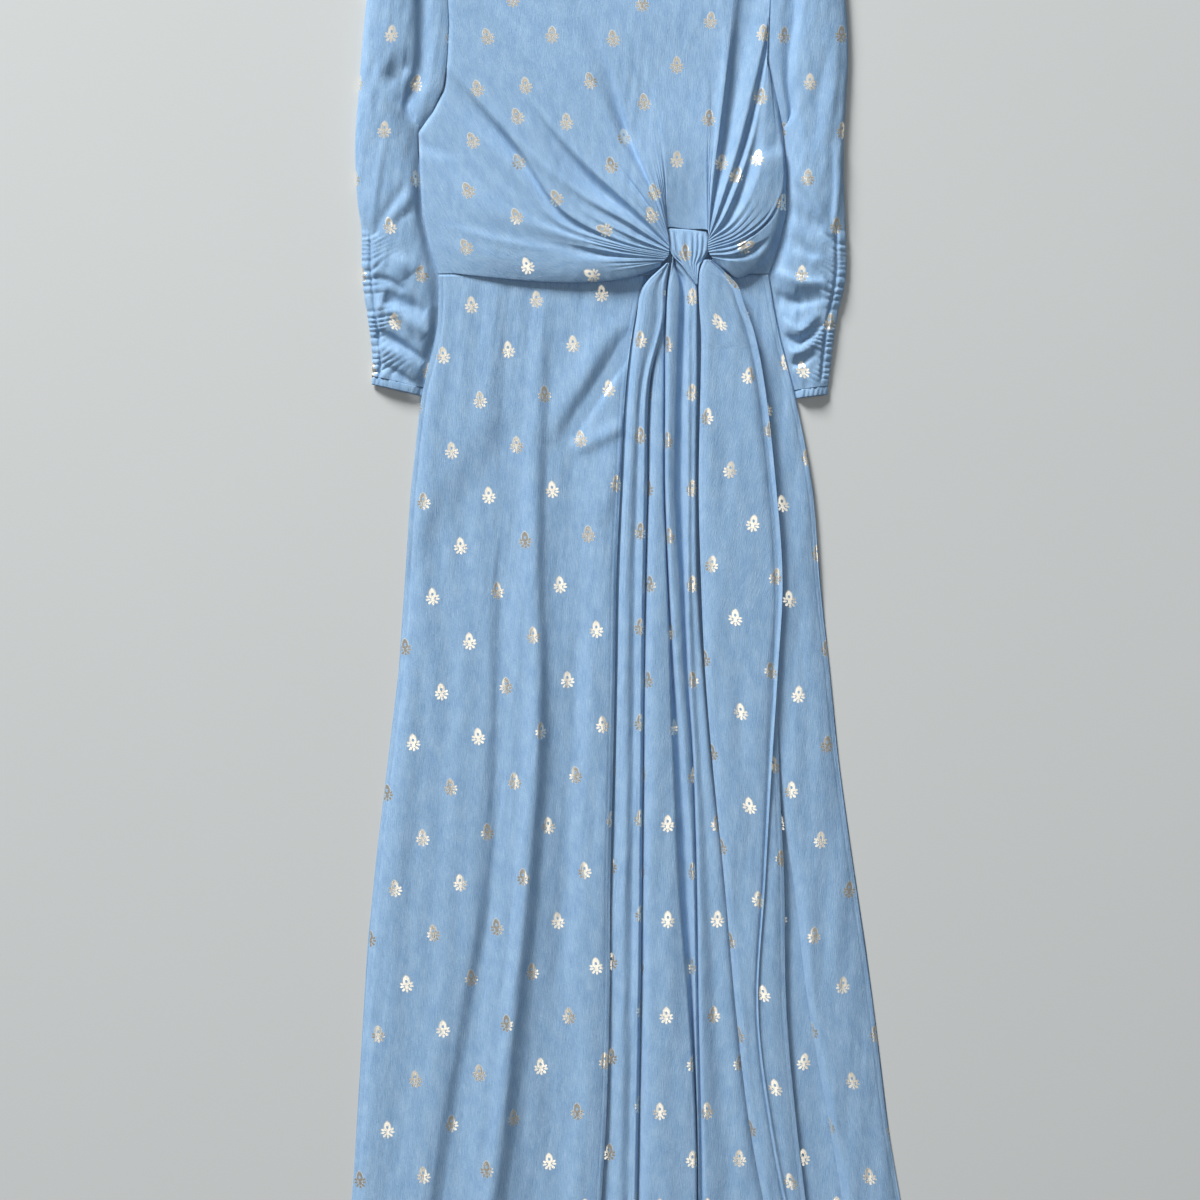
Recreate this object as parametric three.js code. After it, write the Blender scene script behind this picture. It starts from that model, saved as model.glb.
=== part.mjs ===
// Twist waist dress, laid flat on its back: a draped bodice gathered into two twist points beside a
// small pleated waist tab, elbow-length sleeves with a ruched outer seam, and a long skirt of wrapped
// panels with two falling drapes.
// Millimetres. +X is to the viewer's right, +Y runs from hem to neck, +Z is up off the surface.
// The origin is at the middle of the bounding box, on the surface.
import * as THREE from 'three';

// ---- driving dimensions -------------------------------------------------------------------------
const WALL = 1.2;             // thickness that stands for the cloth
const SEAM_GAP = 0.3;         // clearance between two pieces that are sewn together
const LAYER_GAP = 0.6;        // clearance between two layers that lie on each other
const HALF_LENGTH = 756;      // half of the length from shoulder point at the neck to the hem
const HALF_HEM = 310;         // half of the width of the hem
const HEM_RISE = 18;          // how much higher the hem is at its sides than in its middle
const FRONT_INSET = 1;        // the front panels' edges lie this far inside the back panels' edges
const WAIST_Y = 336;          // height of the waist seam along the dress
const SHOULDER_Y = 716;       // outer end of the shoulder seam
const UNDERARM_Y = 492;       // top of the side seam
const BACK_NECK_DROP = 20;    // depth of the back neckline
const TUCK_LIFT = 3.4;        // how far the back rises over the part of a sleeve tucked under it
const TUCK_SHELF = 14;        // the raised part of the back reaches this far past the sleeve
const TUCK_RAMP = 50;         // width over which the back comes down again beside a tucked sleeve
const EDGE_CLEAR = 0.9;       // each side's clearance from the armhole seam
const CUFF_DEPTH = 9;         // depth of the narrow cuff band
const RUCHES = 11;            // gathers along each sleeve's ruched seam
const RUCHE_HEIGHT = 2.4;     // half height of one of those gathers
const FULLNESS = 1.4;         // how high the folds stand: it multiplies the heights in the tables
const CLOTH_COLOUR = 0x86aedd;
const SHADE_COLOUR = 0x7aa2d4;

const half = WALL / 2;
const over = WALL + LAYER_GAP; // a layer's middle lies this far over the middle of the layer below
const hemCornerY = -HALF_LENGTH + HEM_RISE;

// ---- small tools --------------------------------------------------------------------------------
const mix = (a, b, t) => a + (b - a) * t;
const clamp = (x) => Math.min(1, Math.max(0, x));
const smooth = (x) => clamp(x) ** 2 * (3 - 2 * clamp(x));
const bell = (x) => Math.exp(-x * x);

// A value read from a table whose first column is the key, in falling order.
function along(table, key, column) {
  if (key >= table[0][0]) return table[0][column];
  for (let i = 1; i < table.length; i += 1) {
    if (key >= table[i][0]) {
      const t = (table[i - 1][0] - key) / (table[i - 1][0] - table[i][0]);
      return mix(table[i - 1][column], table[i][column], t);
    }
  }
  return table[table.length - 1][column];
}

// Points at even steps of a smooth curve through the given points.
function curvePoints(points, steps) {
  const curve = new THREE.CatmullRomCurve3(points, false, 'centripetal');
  return Array.from({ length: steps + 1 }, (_, k) => curve.getPoint(k / steps));
}

// The rest height of the back panels' middle surface: flat, but raised over the tucked sleeves.
const TUCK_EDGE = [ // y, inner edge of the left sleeve, inner edge of the right sleeve
  [490, -308, 249], [474, -271, 211], [462, -237, 178], [448, -224, 165], [436, -211, 153],
  [400, -186, 127], [370, -174, 113], [320, -166, 105], [225, -170, 109], [178, -176, 115],
  [-60, -340, 280], [-80, -700, 700],
];

function backHeight(x, y) {
  const left = smooth((along(TUCK_EDGE, y, 1) + TUCK_RAMP + TUCK_SHELF - x) / TUCK_RAMP);
  const right = smooth((x - along(TUCK_EDGE, y, 2) + TUCK_RAMP + TUCK_SHELF) / TUCK_RAMP);
  return half + TUCK_LIFT * Math.max(left, right);
}

// The side of the body at a height: column 1 is the left side, column 2 the right one.
const bodySide = (y, column) => along(y >= WAIST_Y ? BODY_EDGE : SKIRT_EDGE, y, column);

const hemY = (x) => -HALF_LENGTH + HEM_RISE * (x / HALF_HEM) ** 2;

// A wall of cloth: grid[i][j] is its middle surface, i across and j along. Both faces lie half a
// wall from it along its normal, and the four edges are closed.
function clothMesh(name, grid, colour = CLOTH_COLOUR) {
  const across = grid.length;
  const down = grid[0].length;
  const du = new THREE.Vector3();
  const dv = new THREE.Vector3();
  const positions = [];
  for (const side of [1, -1]) {
    for (let i = 0; i < across; i += 1) {
      for (let j = 0; j < down; j += 1) {
        du.subVectors(grid[Math.min(i + 1, across - 1)][j], grid[Math.max(i - 1, 0)][j]);
        dv.subVectors(grid[i][Math.min(j + 1, down - 1)], grid[i][Math.max(j - 1, 0)]);
        const normal = new THREE.Vector3().crossVectors(dv, du).normalize();
        const point = grid[i][j].clone().addScaledVector(normal, side * half);
        positions.push(point.x, point.y, point.z);
      }
    }
  }
  const at = (side, i, j) => (side * across + i) * down + j;
  const index = [];
  const quad = (a, b, c, d) => index.push(a, b, c, a, c, d);
  for (let i = 0; i + 1 < across; i += 1) {
    for (let j = 0; j + 1 < down; j += 1) {
      quad(at(0, i, j), at(0, i, j + 1), at(0, i + 1, j + 1), at(0, i + 1, j));
      quad(at(1, i, j), at(1, i + 1, j), at(1, i + 1, j + 1), at(1, i, j + 1));
    }
    quad(at(0, i, 0), at(0, i + 1, 0), at(1, i + 1, 0), at(1, i, 0));
    quad(at(0, i, down - 1), at(1, i, down - 1), at(1, i + 1, down - 1), at(0, i + 1, down - 1));
  }
  for (let j = 0; j + 1 < down; j += 1) {
    quad(at(0, 0, j), at(1, 0, j), at(1, 0, j + 1), at(0, 0, j + 1));
    quad(at(0, across - 1, j), at(0, across - 1, j + 1), at(1, across - 1, j + 1), at(1, across - 1, j));
  }
  const geometry = new THREE.BufferGeometry();
  geometry.setAttribute('position', new THREE.Float32BufferAttribute(positions, 3));
  geometry.setIndex(index);
  geometry.computeVertexNormals();
  const cloth = new THREE.MeshStandardMaterial({ color: colour, roughness: 0.85, metalness: 0 });
  const mesh = new THREE.Mesh(geometry, cloth);
  mesh.name = name;
  return mesh;
}

// ---- the two back panels ------------------------------------------------------------------------
const BODY_EDGE = [ // y, left edge, right edge of the bodice: shoulder, armhole, underarm, side seam
  [716, -218, 175], [690, -207, 164], [650, -199, 156], [610, -197, 154], [570, -199, 152],
  [540, -203, 160], [515, -215, 166], [492, -231, 170], [480, -230.5, 170.8], [469, -230, 171.5],
  [458, -229.5, 172.3], [446, -229, 173],
  [424, -228, 173], [402, -227, 173], [368, -219, 165], [336, -209, 154],
];
const SKIRT_EDGE = [ // y, left edge, right edge of the skirt
  [336, -209, 154], [300, -206, 160], [270, -212, 166], [200, -228, 184], [100, -239, 203],
  [0, -246, 211], [-100, -253, 222], [-200, -265, 232], [-300, -277, 246], [-400, -287, 261],
  [-500, -293, 274], [-600, -299, 286], [-682, -304, 297], [hemCornerY, -HALF_HEM, HALF_HEM],
];
const NECK_START = 0.3;       // share of the shoulder width where the neckline starts

function backTop(t) {
  const fromMiddle = Math.abs(t - 0.5);
  const neckHalf = 0.5 - NECK_START;
  if (fromMiddle >= neckHalf) return mix(HALF_LENGTH, SHOULDER_Y, (fromMiddle - neckHalf) / NECK_START);
  return HALF_LENGTH - BACK_NECK_DROP * Math.sqrt(1 - (fromMiddle / neckHalf) ** 2);
}

function bodiceBack() {
  const columns = 20;
  const rows = BODY_EDGE.map((row) => row[0]).reverse();
  const grid = [];
  for (let i = 0; i <= columns; i += 1) {
    const t = i / columns;
    grid.push(rows.map((edgeY) => {
      const v = (edgeY - WAIST_Y) / (SHOULDER_Y - WAIST_Y);
      const x = mix(along(BODY_EDGE, edgeY, 1), along(BODY_EDGE, edgeY, 2), t);
      const y = mix(WAIST_Y + SEAM_GAP / 2, backTop(t), v);
      return new THREE.Vector3(x, y, backHeight(x, y));
    }));
  }
  return clothMesh('bodice_back', grid, SHADE_COLOUR);
}

function skirtBack() {
  const fromSide = [0, 0.04, 0.08, 0.12, 0.17, 0.22, 0.28, 0.36, 0.5];
  const columns = [...fromSide, ...fromSide.slice(0, -1).reverse().map((t) => 1 - t)];
  const rows = [0, 0.04, 0.08, 0.12, 0.15, 0.18, 0.21, 0.24, 0.27, 0.31, 0.36, 0.5, 0.66, 0.83, 1];
  const top = WAIST_Y - SEAM_GAP / 2;
  const grid = [];
  for (const t of columns) {
    grid.push(rows.map((v) => {
      const edgeY = mix(WAIST_Y, hemCornerY, v);
      const x = mix(along(SKIRT_EDGE, edgeY, 1), along(SKIRT_EDGE, edgeY, 2), t);
      const y = mix(top, hemY(x), v);
      return new THREE.Vector3(x, y, backHeight(x, y));
    }));
  }
  return clothMesh('skirt_back', grid, SHADE_COLOUR);
}

// ---- hanging panels: lines that run down the cloth ----------------------------------------------
const PER_SPAN = 2;           // columns from one line of a table to the next
const SHORT_SPAN = 90;        // a longer span between two stations gets a row more in the upper skirt
const LONG_SPAN = 120;        // and one longer than this gets it in any place

// Each row of a table is one line down the panel: x at each station, then its height above the
// layer below at the top, at the middle and at the hem. The last station is the hem.
// A row of the wall lies at each station, and one halfway wherever a span is long or the layer
// below rises over a tucked sleeve.
function panel(name, stations, lines) {
  const rows = stations.slice(0, -1).flatMap((y, k) => {
    const span = y - stations[k + 1];
    return span > LONG_SPAN || (y > 0 && span > SHORT_SPAN) ? [k, k + 0.5] : [k];
  });
  rows.push(stations.length - 1);
  const strips = lines.map((line) => {
    const points = stations.map((y, k) => {
      const x = line[k];
      const v = k / (stations.length - 1);
      const [top, middle, hem] = line.slice(stations.length);
      const height = v < 0.5 ? mix(top, middle, v * 2) : mix(middle, hem, v * 2 - 1);
      const place = k === stations.length - 1 ? hemY(x) + FRONT_INSET : y;
      return new THREE.Vector3(x, place, height);
    });
    const curve = new THREE.CatmullRomCurve3(points, false, 'centripetal');
    return rows.map((place) => curve.getPoint(place / (stations.length - 1)));
  });
  const grid = Array.from({ length: (lines.length - 1) * PER_SPAN + 1 }, () => []);
  for (let j = 0; j < rows.length; j += 1) {
    const section = curvePoints(strips.map((strip) => strip[j]), grid.length - 1);
    section.forEach((point, i) => {
      const rest = backHeight(point.x, point.y) + over;
      grid[i].push(new THREE.Vector3(point.x, point.y, rest + Math.max(0, point.z * FULLNESS)));
    });
  }
  return clothMesh(name, grid);
}

const SKIRT_STATIONS = [335.5, 270, 200, 100, 0, -100, -200, -330, -470, -600, -740];

const LEFT_FRONT = [ // x at the stations above, then height at the top, the middle and the hem
  [-208, -211, -227, -238, -245, -252, -264, -279, -290, -298, -309, 0, 0, 0],
  [-200, -202, -216, -226, -233, -240, -252, -266, -277, -285, -296, 0.2, 4, 4],
  [-176, -180, -192, -198, -202, -206, -215, -222, -236, -248, -262, 0.2, 4.5, 6],
  [-142, -144, -148, -150, -152, -154, -156, -162, -186, -208, -230, 0.2, 5.5, 9],
  [-130, -132, -136, -138, -140, -142, -143, -148, -171, -192, -213, 0.2, 3.5, 4],
  [-112, -114, -116, -118, -119, -119, -120, -128, -143, -158, -176, 0.2, 6.5, 7.5],
  [-94, -96, -98, -101, -102, -99, -101, -111, -126, -140, -158, 0.1, 9.5, 11],
  [-84, -86, -87, -89, -90, -87, -88, -96, -110, -123, -140, 0.2, 3.6, 3.6],
  [-52, -52, -56, -58, -60, -61, -62, -66, -72, -78, -88, 0.4, 1.2, 1.5],
  [-14, -18, -26, -34, -38, -40, -42, -44, -47, -50, -58, 0.4, 4.8, 5.5],
  [14, 1, -7, -13, -18, -20, -22, -25, -26.5, -30, -41, 0.4, 4, 5.6],
  [17, 4, -4, -9, -13.5, -15, -17, -20, -21, -25, -35, 0.2, 2, 4.4],
];

const LEFT_DRAPE = [ // stations start at the left twist point
  [41, 16, 8.5, 0.5, -6, -10, -12, -14, -18, -26, -34, -45, 4, 0.8, 0.2],
  [41.6, 19, 12, 4.5, -2, -6, -8, -9, -12, -16, -21, -28, 9, 4.6, 0.2],
  [42.3, 27, 22, 10.5, 3, 0, -1, -2, -4, -6, -8, -12, 9.5, 5, 4.6],
  [43, 33, 31, 15, 9.5, 7, 6, 5, 4, 3, 1, -3, 8.5, 2.6, 3.2],
  [43.7, 38, 36.5, 20, 16.5, 15, 13.5, 13, 11.5, 10, 8, 5, 9, 4.8, 4.6],
  [44.5, 41, 38.8, 23, 20.2, 18, 16.6, 15.6, 14.6, 13, 10.8, 7.6, 8.5, 1, 1],
];
const DRAPE_STATIONS = [347, 322, 285, 215, 100, 0, -100, -200, -330, -470, -600, -740];

const CENTRE = [ // the gathered middle of the skirt, strips between deep folds
  [46, 44.5, 41.5, 38, 34, 24.6, 21.6, 19.4, 18, 17, 16, 14.6, 12.6, 9.8, 0, 0.6, 0.6],
  [46.8, 45.4, 42.4, 39, 35.5, 28, 25.5, 23.5, 22, 21, 21.5, 22, 21, 19, -2, 6, 7.5],
  [47.4, 45.9, 43, 39.8, 37, 36, 35.5, 39, 42.5, 45, 50, 61, 68, 69, -2.5, 7, 9],
  [47.7, 46.2, 43.4, 40.4, 38.5, 38, 37.7, 41.5, 45, 48.5, 54, 65.5, 73, 74.5, -2.5, 6, 8.2],
  [48, 46.6, 43.8, 41.2, 40.2, 39.5, 39.2, 43, 48, 55, 62, 69.5, 74.6, 76, 1, 0.5, 0.5],
  [48.6, 47.4, 45.5, 44, 43, 43, 42.5, 46.5, 53, 62, 70.5, 73, 76, 77.4, 7, 8, 6],
  [50, 49.5, 53.5, 55, 54, 51.5, 49.5, 55, 60, 68, 72.6, 74.8, 77.6, 79.2, 6, 6.5, 5.6],
  [50.6, 51, 57.5, 60, 60, 58, 57, 60, 64, 70.4, 74.2, 76.4, 79.4, 82, 2, 0.8, 4.6],
  [51.4, 53, 62, 65, 65.3, 65, 65, 65, 67.5, 73, 77, 79, 82.4, 86, 4.5, 7, 6.8],
  [53.5, 56, 66, 69.5, 69.5, 69.5, 69, 69.5, 73.5, 79.5, 88, 94, 103, 115, 5, 6.2, 3.8],
  [56, 60, 70.5, 74, 74, 74, 72.5, 74, 80, 88, 102, 112, 127, 150, 4.5, 6.2, 5],
  [60, 66, 75, 77.6, 78.4, 79, 79, 81, 87, 96, 112, 124, 140, 166, 1, 0.5, 1.2],
  [68, 76, 84, 92, 106, 118, 124, 128, 132, 142, 156, 170, 184, 200, 0.4, 0.4, 1.2],
  [74, 82, 92, 102, 117, 130, 138, 144, 150, 162, 178, 196, 212, 230, 0.2, 0.2, 0.6],
  [80, 88, 99, 109, 126, 140, 150, 158, 166, 180, 200, 224, 242, 262, 0, 0, 0],
];
const CENTRE_STATIONS = [356, 345, 332, 318, 285, 215, 100, 0, -100, -200, -330, -470, -600, -740];

const RIGHT_FRONT = [
  [97, 117, 131, 142, 146, 149, 160, 181, 198, 221, 246, 1.7, 1.2, 1.4],
  [104, 123, 137, 148, 152, 156, 168, 187, 204, 227, 252, 1.6, 3.4, 6],
  [118, 136, 152, 165, 173, 178, 188, 206, 224, 244, 268, 0.6, 4.4, 5.4],
  [134, 150, 168, 184, 192, 200, 210, 226, 243, 261, 284, 0.2, 4, 4.4],
  [147, 159, 176, 195, 203, 213, 223, 239, 257, 275, 298, 0.1, 2.4, 2.8],
  [153, 165, 183, 202, 210, 221, 231, 249, 269, 285, 309, 0, 0.3, 0],
];

const RIGHT_DRAPE = [ // a long leaf of cloth whose right edge turns under over a second strip
  [82.5, 77.4, 76.8, 77.5, 79.6, 79, 77, 79.5, 84, 92, 105, 117.5, 133, 162, 6.5, 6.2, 6.2],
  [84, 80.4, 79.6, 80.6, 83, 83, 81.5, 85.5, 90.5, 98, 110.5, 122, 138, 167, 11, 8.8, 8.6],
  [86, 88, 93, 97, 102, 107.5, 112, 117, 119, 122, 127.5, 131, 145, 175, 11.6, 9.4, 8.8],
  [87.6, 96, 107, 115, 124, 135, 149, 155, 152, 149, 144.5, 137.5, 152, 181, 11, 9.8, 8.6],
  [88.4, 99.6, 113, 121, 131.5, 143, 157.5, 164.5, 160, 154.5, 147.8, 140.4, 155, 184.2, 8.2, 7.8, 7.8],
  [89.6, 103.4, 119, 127, 137.5, 148.5, 161.5, 168.5, 163.5, 157, 149.6, 142, 157, 186.4, 9.6, 9.6, 8.6],
  [89, 102, 117.4, 125.2, 135.5, 146.5, 159.5, 166.5, 163, 155.5, 148, 142.2, 160, 189, 7.8, 7.6, 7.4],
  [88.4, 101, 115.6, 123.2, 133.4, 144, 157, 164, 162, 160.6, 162, 160, 170, 195, 6.4, 6.4, 7.2],
  [89, 102.6, 117, 124.8, 135, 146, 158.5, 165.5, 164, 165, 171, 173.5, 185, 203, 5.4, 5.2, 5],
];
const RIGHT_STATIONS = [350, 338, 322, 300, 270, 215, 100, 0, -100, -200, -330, -470, -600, -740];

// ---- draped bodice front ------------------------------------------------------------------------
// Each row is one line of the cloth, from where it is gathered at the waist to the edge of the
// bodice: five points (x, y), the height at the waist, in the drape and at the edge, and the
// height of the fold between this line and the next with the share of the line that it reaches.
const FRONT = [
  // waist     near       middle     far        edge       heights    fold, reach
  [36, 347.5, 0, 338, -58, 336.4, -135, 336.4, -208, 336.4, 3, 0, 0, 0, 1],
  [35.5, 346.5, 1, 337, -57, 335, -134, 335.6, -208.5, 337, 5.5, 4.5, 0, 0, 1],
  [34.5, 344, 3, 332, -50, 326.5, -130, 330, -209.5, 339, 8, 5.4, 0, 0, 1],
  [36, 348, -2, 341, -55, 335, -132, 340, -213, 347, 11, 8, 0, 1.5, 0.4],
  [39, 350, -8, 349, -66, 350, -143, 356, -218.5, 368, 12, 9, 0, 5, 0.62],
  [41, 352, -9, 357, -67, 368.5, -142, 382, -225.5, 396, 12, 8.5, 0, 2.5, 0.5],
  [42.5, 353.5, -10, 361.5, -67, 376, -143, 404, -228, 434, 12, 9.5, 0, 2.5, 0.5],
  [43.5, 355, -9.5, 364, -72, 383, -143, 428, -230, 476, 12, 7.5, 0.4, 1.5, 0.5],
  [44, 356, -9, 366, -80, 394, -136, 460, -215, 515, 12, 8, 2, 8, 1.1],
  [44.3, 357.5, -7, 370, -72, 404.5, -121, 475, -199, 565, 12, 10, 3, 2.5, 0.5],
  [44.5, 359.5, -2, 378, -70, 418, -118, 493, -197.5, 595, 12, 9, 3, 3.5, 0.6],
  [44.6, 362.5, 3, 389, -64, 431.5, -112, 506, -198, 632, 12, 10, 3, 8, 0.85],
  [44.5, 366.5, 11, 401, -45, 453, -99, 515, -202, 665, 12, 8, 3, 1.5, 0.45],
  [44.3, 369, 18, 407, -29, 463, -80, 535, -208.5, 695, 12, 8, 3, 2.5, 0.6],
  [44, 371, 22.5, 411, -19, 470, -65, 550, -214, 716.5, 12, 7, 0, 1.5, 0.45],
  [43.8, 373, 26, 414, -9, 477, -46, 558, -165, 733, 12, 8, 0, 6, 0.95],
  [43.6, 375.5, 30, 421, 4, 490, -22, 574, -103, 754, 12, 6, 0, 1.5, 0.45],
  [43.3, 378, 32.5, 432, 12, 506, -11, 592, -95, 727, 11, 5.5, 0, 1, 0.5],
  [42.8, 381, 35, 445, 19, 527, -2, 608, -81, 704, 10, 4.5, 0, 0.8, 0.5],
  [42.4, 386, 41, 460, 28, 548, 8, 622, -62, 687, 9, 4, 0, 0, 1],
  [64, 384.5, 64, 463, 58, 552, 40, 628, -21, 672, 8, 3.5, 0, 0, 1],
  [86.6, 383, 85, 460, 86, 548, 76, 625, 26, 690, 9, 4, 0, 1, 0.5],
  [87.3, 380.6, 87, 442, 91, 530, 90, 622, 46, 722, 10, 4.5, 0, 1, 0.5],
  [87.5, 379, 88.3, 427, 95, 507, 101, 602, 60, 754, 11, 6, 0, 1.5, 0.5],
  [87.7, 377, 90, 414, 99.5, 492, 110, 578, 128, 732, 12, 8.5, 0, 8, 1.1],
  [87.7, 375, 97.5, 403, 121, 475, 139, 548, 171, 716.5, 12, 9, 0, 6, 1.05],
  [87.6, 373, 103, 394, 129.5, 461, 146, 528, 162, 690, 12, 9, 2.6, 5.5, 0.75],
  [87.4, 371, 116, 391, 144, 447, 151, 512, 155, 650, 12, 10, 3, 1.5, 0.5],
  [87, 368.5, 119, 385, 152, 437, 156, 498, 152, 610, 12, 9.5, 3, 1, 0.5],
  [86.8, 366, 120, 380, 155, 422, 162, 476, 151, 570, 12, 9, 3, 1.5, 0.5],
  [86.9, 363.5, 120, 375, 155, 406, 167, 452, 161.5, 530, 12, 9, 3, 2.5, 0.6],
  [87.2, 361, 118, 370, 150, 392, 168, 428, 169, 492, 12, 9.5, 0.5, 6, 0.8],
  [87.8, 358.5, 116, 363, 144, 381, 164, 402, 172, 440, 12, 9.5, 0.5, 2, 0.5],
  [89.2, 355.5, 114, 356.5, 140, 368, 159, 381, 170, 396, 12, 9.5, 0, 5.5, 0.75],
  [91.5, 352.5, 112, 348, 133, 350, 151, 359, 165, 371, 11, 9, 0, 0, 1],
  [93, 349, 106, 340, 119, 331, 137, 339, 161, 357, 8, 6, 0, 0, 1],
  [92, 351, 105, 343.5, 121, 337.4, 138, 342, 157, 347, 5.5, 3.5, 0, 0, 1],
  [91.5, 352, 104, 344.5, 121, 336.6, 137, 336.4, 153, 336.4, 3, 0, 0, 0, 1],
];

const MIDDLE_LINE = 20;       // the lines before this one run to the left twist point
const TROUGH_PLACE = 0.68;    // where between two lines the trough of a fold is deepest
const TROUGH_FADE = 0.45;     // share of the line over which a fold dies away
const TROUGH_LIMIT = 0.45;    // greatest depth of a trough as a share of the distance of its lines
const SEAM_REACH = 12;        // a line that ends within this distance of the side seam is led to it
const SEAM_EASE = 0.3;        // share of the line over which that is done
const GATHER_DIP = 0.8;       // height at the gathers as a share of the height just outside them
const FAR_DIP = 0.7;          // height near the edge as a share of the height in the drape

// The waist height counts for the first two points, the drape height for the third and fourth.
function bodiceFront() {
  const shares = [0, 0.1, 0.2, 0.3, 0.4, 0.5, 0.6, 0.7, 0.8, 0.9, 0.95, 1];
  const lines = FRONT.map((row) => {
    const [waist, drape, edge] = row.slice(10, 13);
    const heights = [waist * GATHER_DIP, waist, drape, drape * FAR_DIP, edge];
    const points = heights.map((height, k) => new THREE.Vector3(row[2 * k], row[2 * k + 1], height));
    const curve = new THREE.CatmullRomCurve3(points, false, 'centripetal');
    return shares.map((share) => curve.getPoint(share));
  });
  // A column on every line, and one in the trough after it.
  const places = [];
  for (let k = 0; k + 1 < lines.length; k += 1) {
    places.push(k, k + (k < MIDDLE_LINE ? TROUGH_PLACE : 1 - TROUGH_PLACE));
  }
  places.push(lines.length - 1);
  const sections = shares.map((_, j) => {
    const curve = new THREE.CatmullRomCurve3(lines.map((line) => line[j]), false, 'centripetal');
    return places.map((place) => curve.getPoint(place / (lines.length - 1)));
  });
  const leftEdge = (y) => along(BODY_EDGE, y, 1) + EDGE_CLEAR;
  const rightEdge = (y) => along(BODY_EDGE, y, 2) - EDGE_CLEAR;
  const grid = places.map((place, i) => {
    const row = Math.floor(place);
    const [fold, reach] = FRONT[row].slice(13);
    const end = sections[shares.length - 1][i];
    const toSeam = (end.x < 0 ? leftEdge(end.y) : rightEdge(end.y)) - end.x;
    const lead = toSeam * smooth((SEAM_REACH - Math.abs(toSeam)) / (SEAM_REACH / 2));
    return sections.map((section, j) => {
      const v = shares[j];
      const point = section[i];
      const pitch = place > row ? lines[row][j].distanceTo(lines[row + 1][j]) : 0;
      const deep = fold * FULLNESS * smooth((reach - v) / TROUGH_FADE);
      const height = point.z * FULLNESS - Math.min(deep, TROUGH_LIMIT * pitch);
      const led = point.x + lead * smooth((v - 1 + SEAM_EASE) / SEAM_EASE);
      const x = Math.min(rightEdge(point.y), Math.max(leftEdge(point.y), led));
      const rest = backHeight(x, point.y) + over;
      return new THREE.Vector3(x, point.y, rest + Math.max(0, height));
    });
  });
  return clothMesh('bodice_front', grid);
}

// ---- waist tab between the two twist points -----------------------------------------------------
const TAB = [ // y, left edge, right edge, height
  [383.2, 43.6, 85.9, 7], [372, 46.3, 86, 8.5], [361, 48, 84.5, 9.5], [352.4, 52, 81, 9.8],
  [345.7, 57, 77.6, 9.8], [332.2, 67, 75.6, 9.8], [323.4, 73.8, 75.2, 9.2],
];

const TAB_SLOPE = 3;          // how much lower the right end of the tab's top seam is than its left end
const PLEATS = 5;
const PLEAT_HEIGHT = 0.9;     // greatest half height of a pleat
const PLEAT_SHARE = 0.02;     // and its greatest share of the tab's width

function waistTab() {
  const columns = PLEATS * 3;
  const rows = 6;
  const grid = Array.from({ length: columns + 1 }, () => []);
  for (let j = 0; j <= rows; j += 1) {
    const y = mix(TAB[0][0], TAB[TAB.length - 1][0], j / rows);
    const width = along(TAB, y, 2) - along(TAB, y, 1);
    const ridge = Math.min(PLEAT_HEIGHT, width * PLEAT_SHARE);
    for (let i = 0; i <= columns; i += 1) {
      const t = i / columns;
      const x = along(TAB, y, 1) + width * t;
      const height = along(TAB, y, 3) * FULLNESS + ridge * Math.cos(2 * Math.PI * PLEATS * t);
      const sloped = y - TAB_SLOPE * (t - 0.5) * (1 - j / rows);
      grid[i].push(new THREE.Vector3(x, sloped, half + over + height));
    }
  }
  return clothMesh('waist_tab', grid);
}

// ---- sleeves ------------------------------------------------------------------------------------
// Each row is one section across the sleeve: the end at the body (x, y), the outer fold (x, y),
// the share of the way out where the sleeve dips beside the body, and the heights of the front
// wall at the body, at the dip and at its crest. Below the underarm the sleeve is a closed tube
// that runs under the body; above it, it opens to the armhole.
const LEFT_SLEEVE = [
  [-176, 199.5, -282, 224, 0.49, 2.1, 2.3, 6.5], [-170, 230, -281, 246, 0.46, 2.1, 2.3, 7],
  [-166, 270, -286, 288, 0.36, 2.1, 2.3, 8], [-166, 320, -292, 332, 0.35, 2.1, 2.3, 9],
  [-173, 370, -293, 385, 0.4, 2.1, 2.3, 9.5], [-185, 402, -297, 412, 0.37, 2.1, 2.3, 10],
  [-208, 436, -299, 440, 0.22, 2.1, 2.3, 10], [-231.5, 469, -300, 472, 0.08, 2.1, 2.3, 10],
  [-232.5, 492, -299, 500, 0.12, 2.2, 2.3, 10],
  [-216, 516, -296, 535, 0.34, 4.5, 2.8, 10], [-201, 550, -293, 578, 0.32, 5.1, 3.2, 10],
  [-197.4, 610, -287, 638, 0.34, 5.1, 3.6, 11], [-199.4, 650, -281, 676, 0.36, 5.1, 4.4, 12],
  [-206, 687, -267, 712, 0.4, 5.1, 5.4, 12], [-213, 705, -245, 739, 0.45, 4.2, 5, 9],
  [-218.6, 716, -223, 727, 0.5, 3.6, 4.2, 4.6],
];
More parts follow.
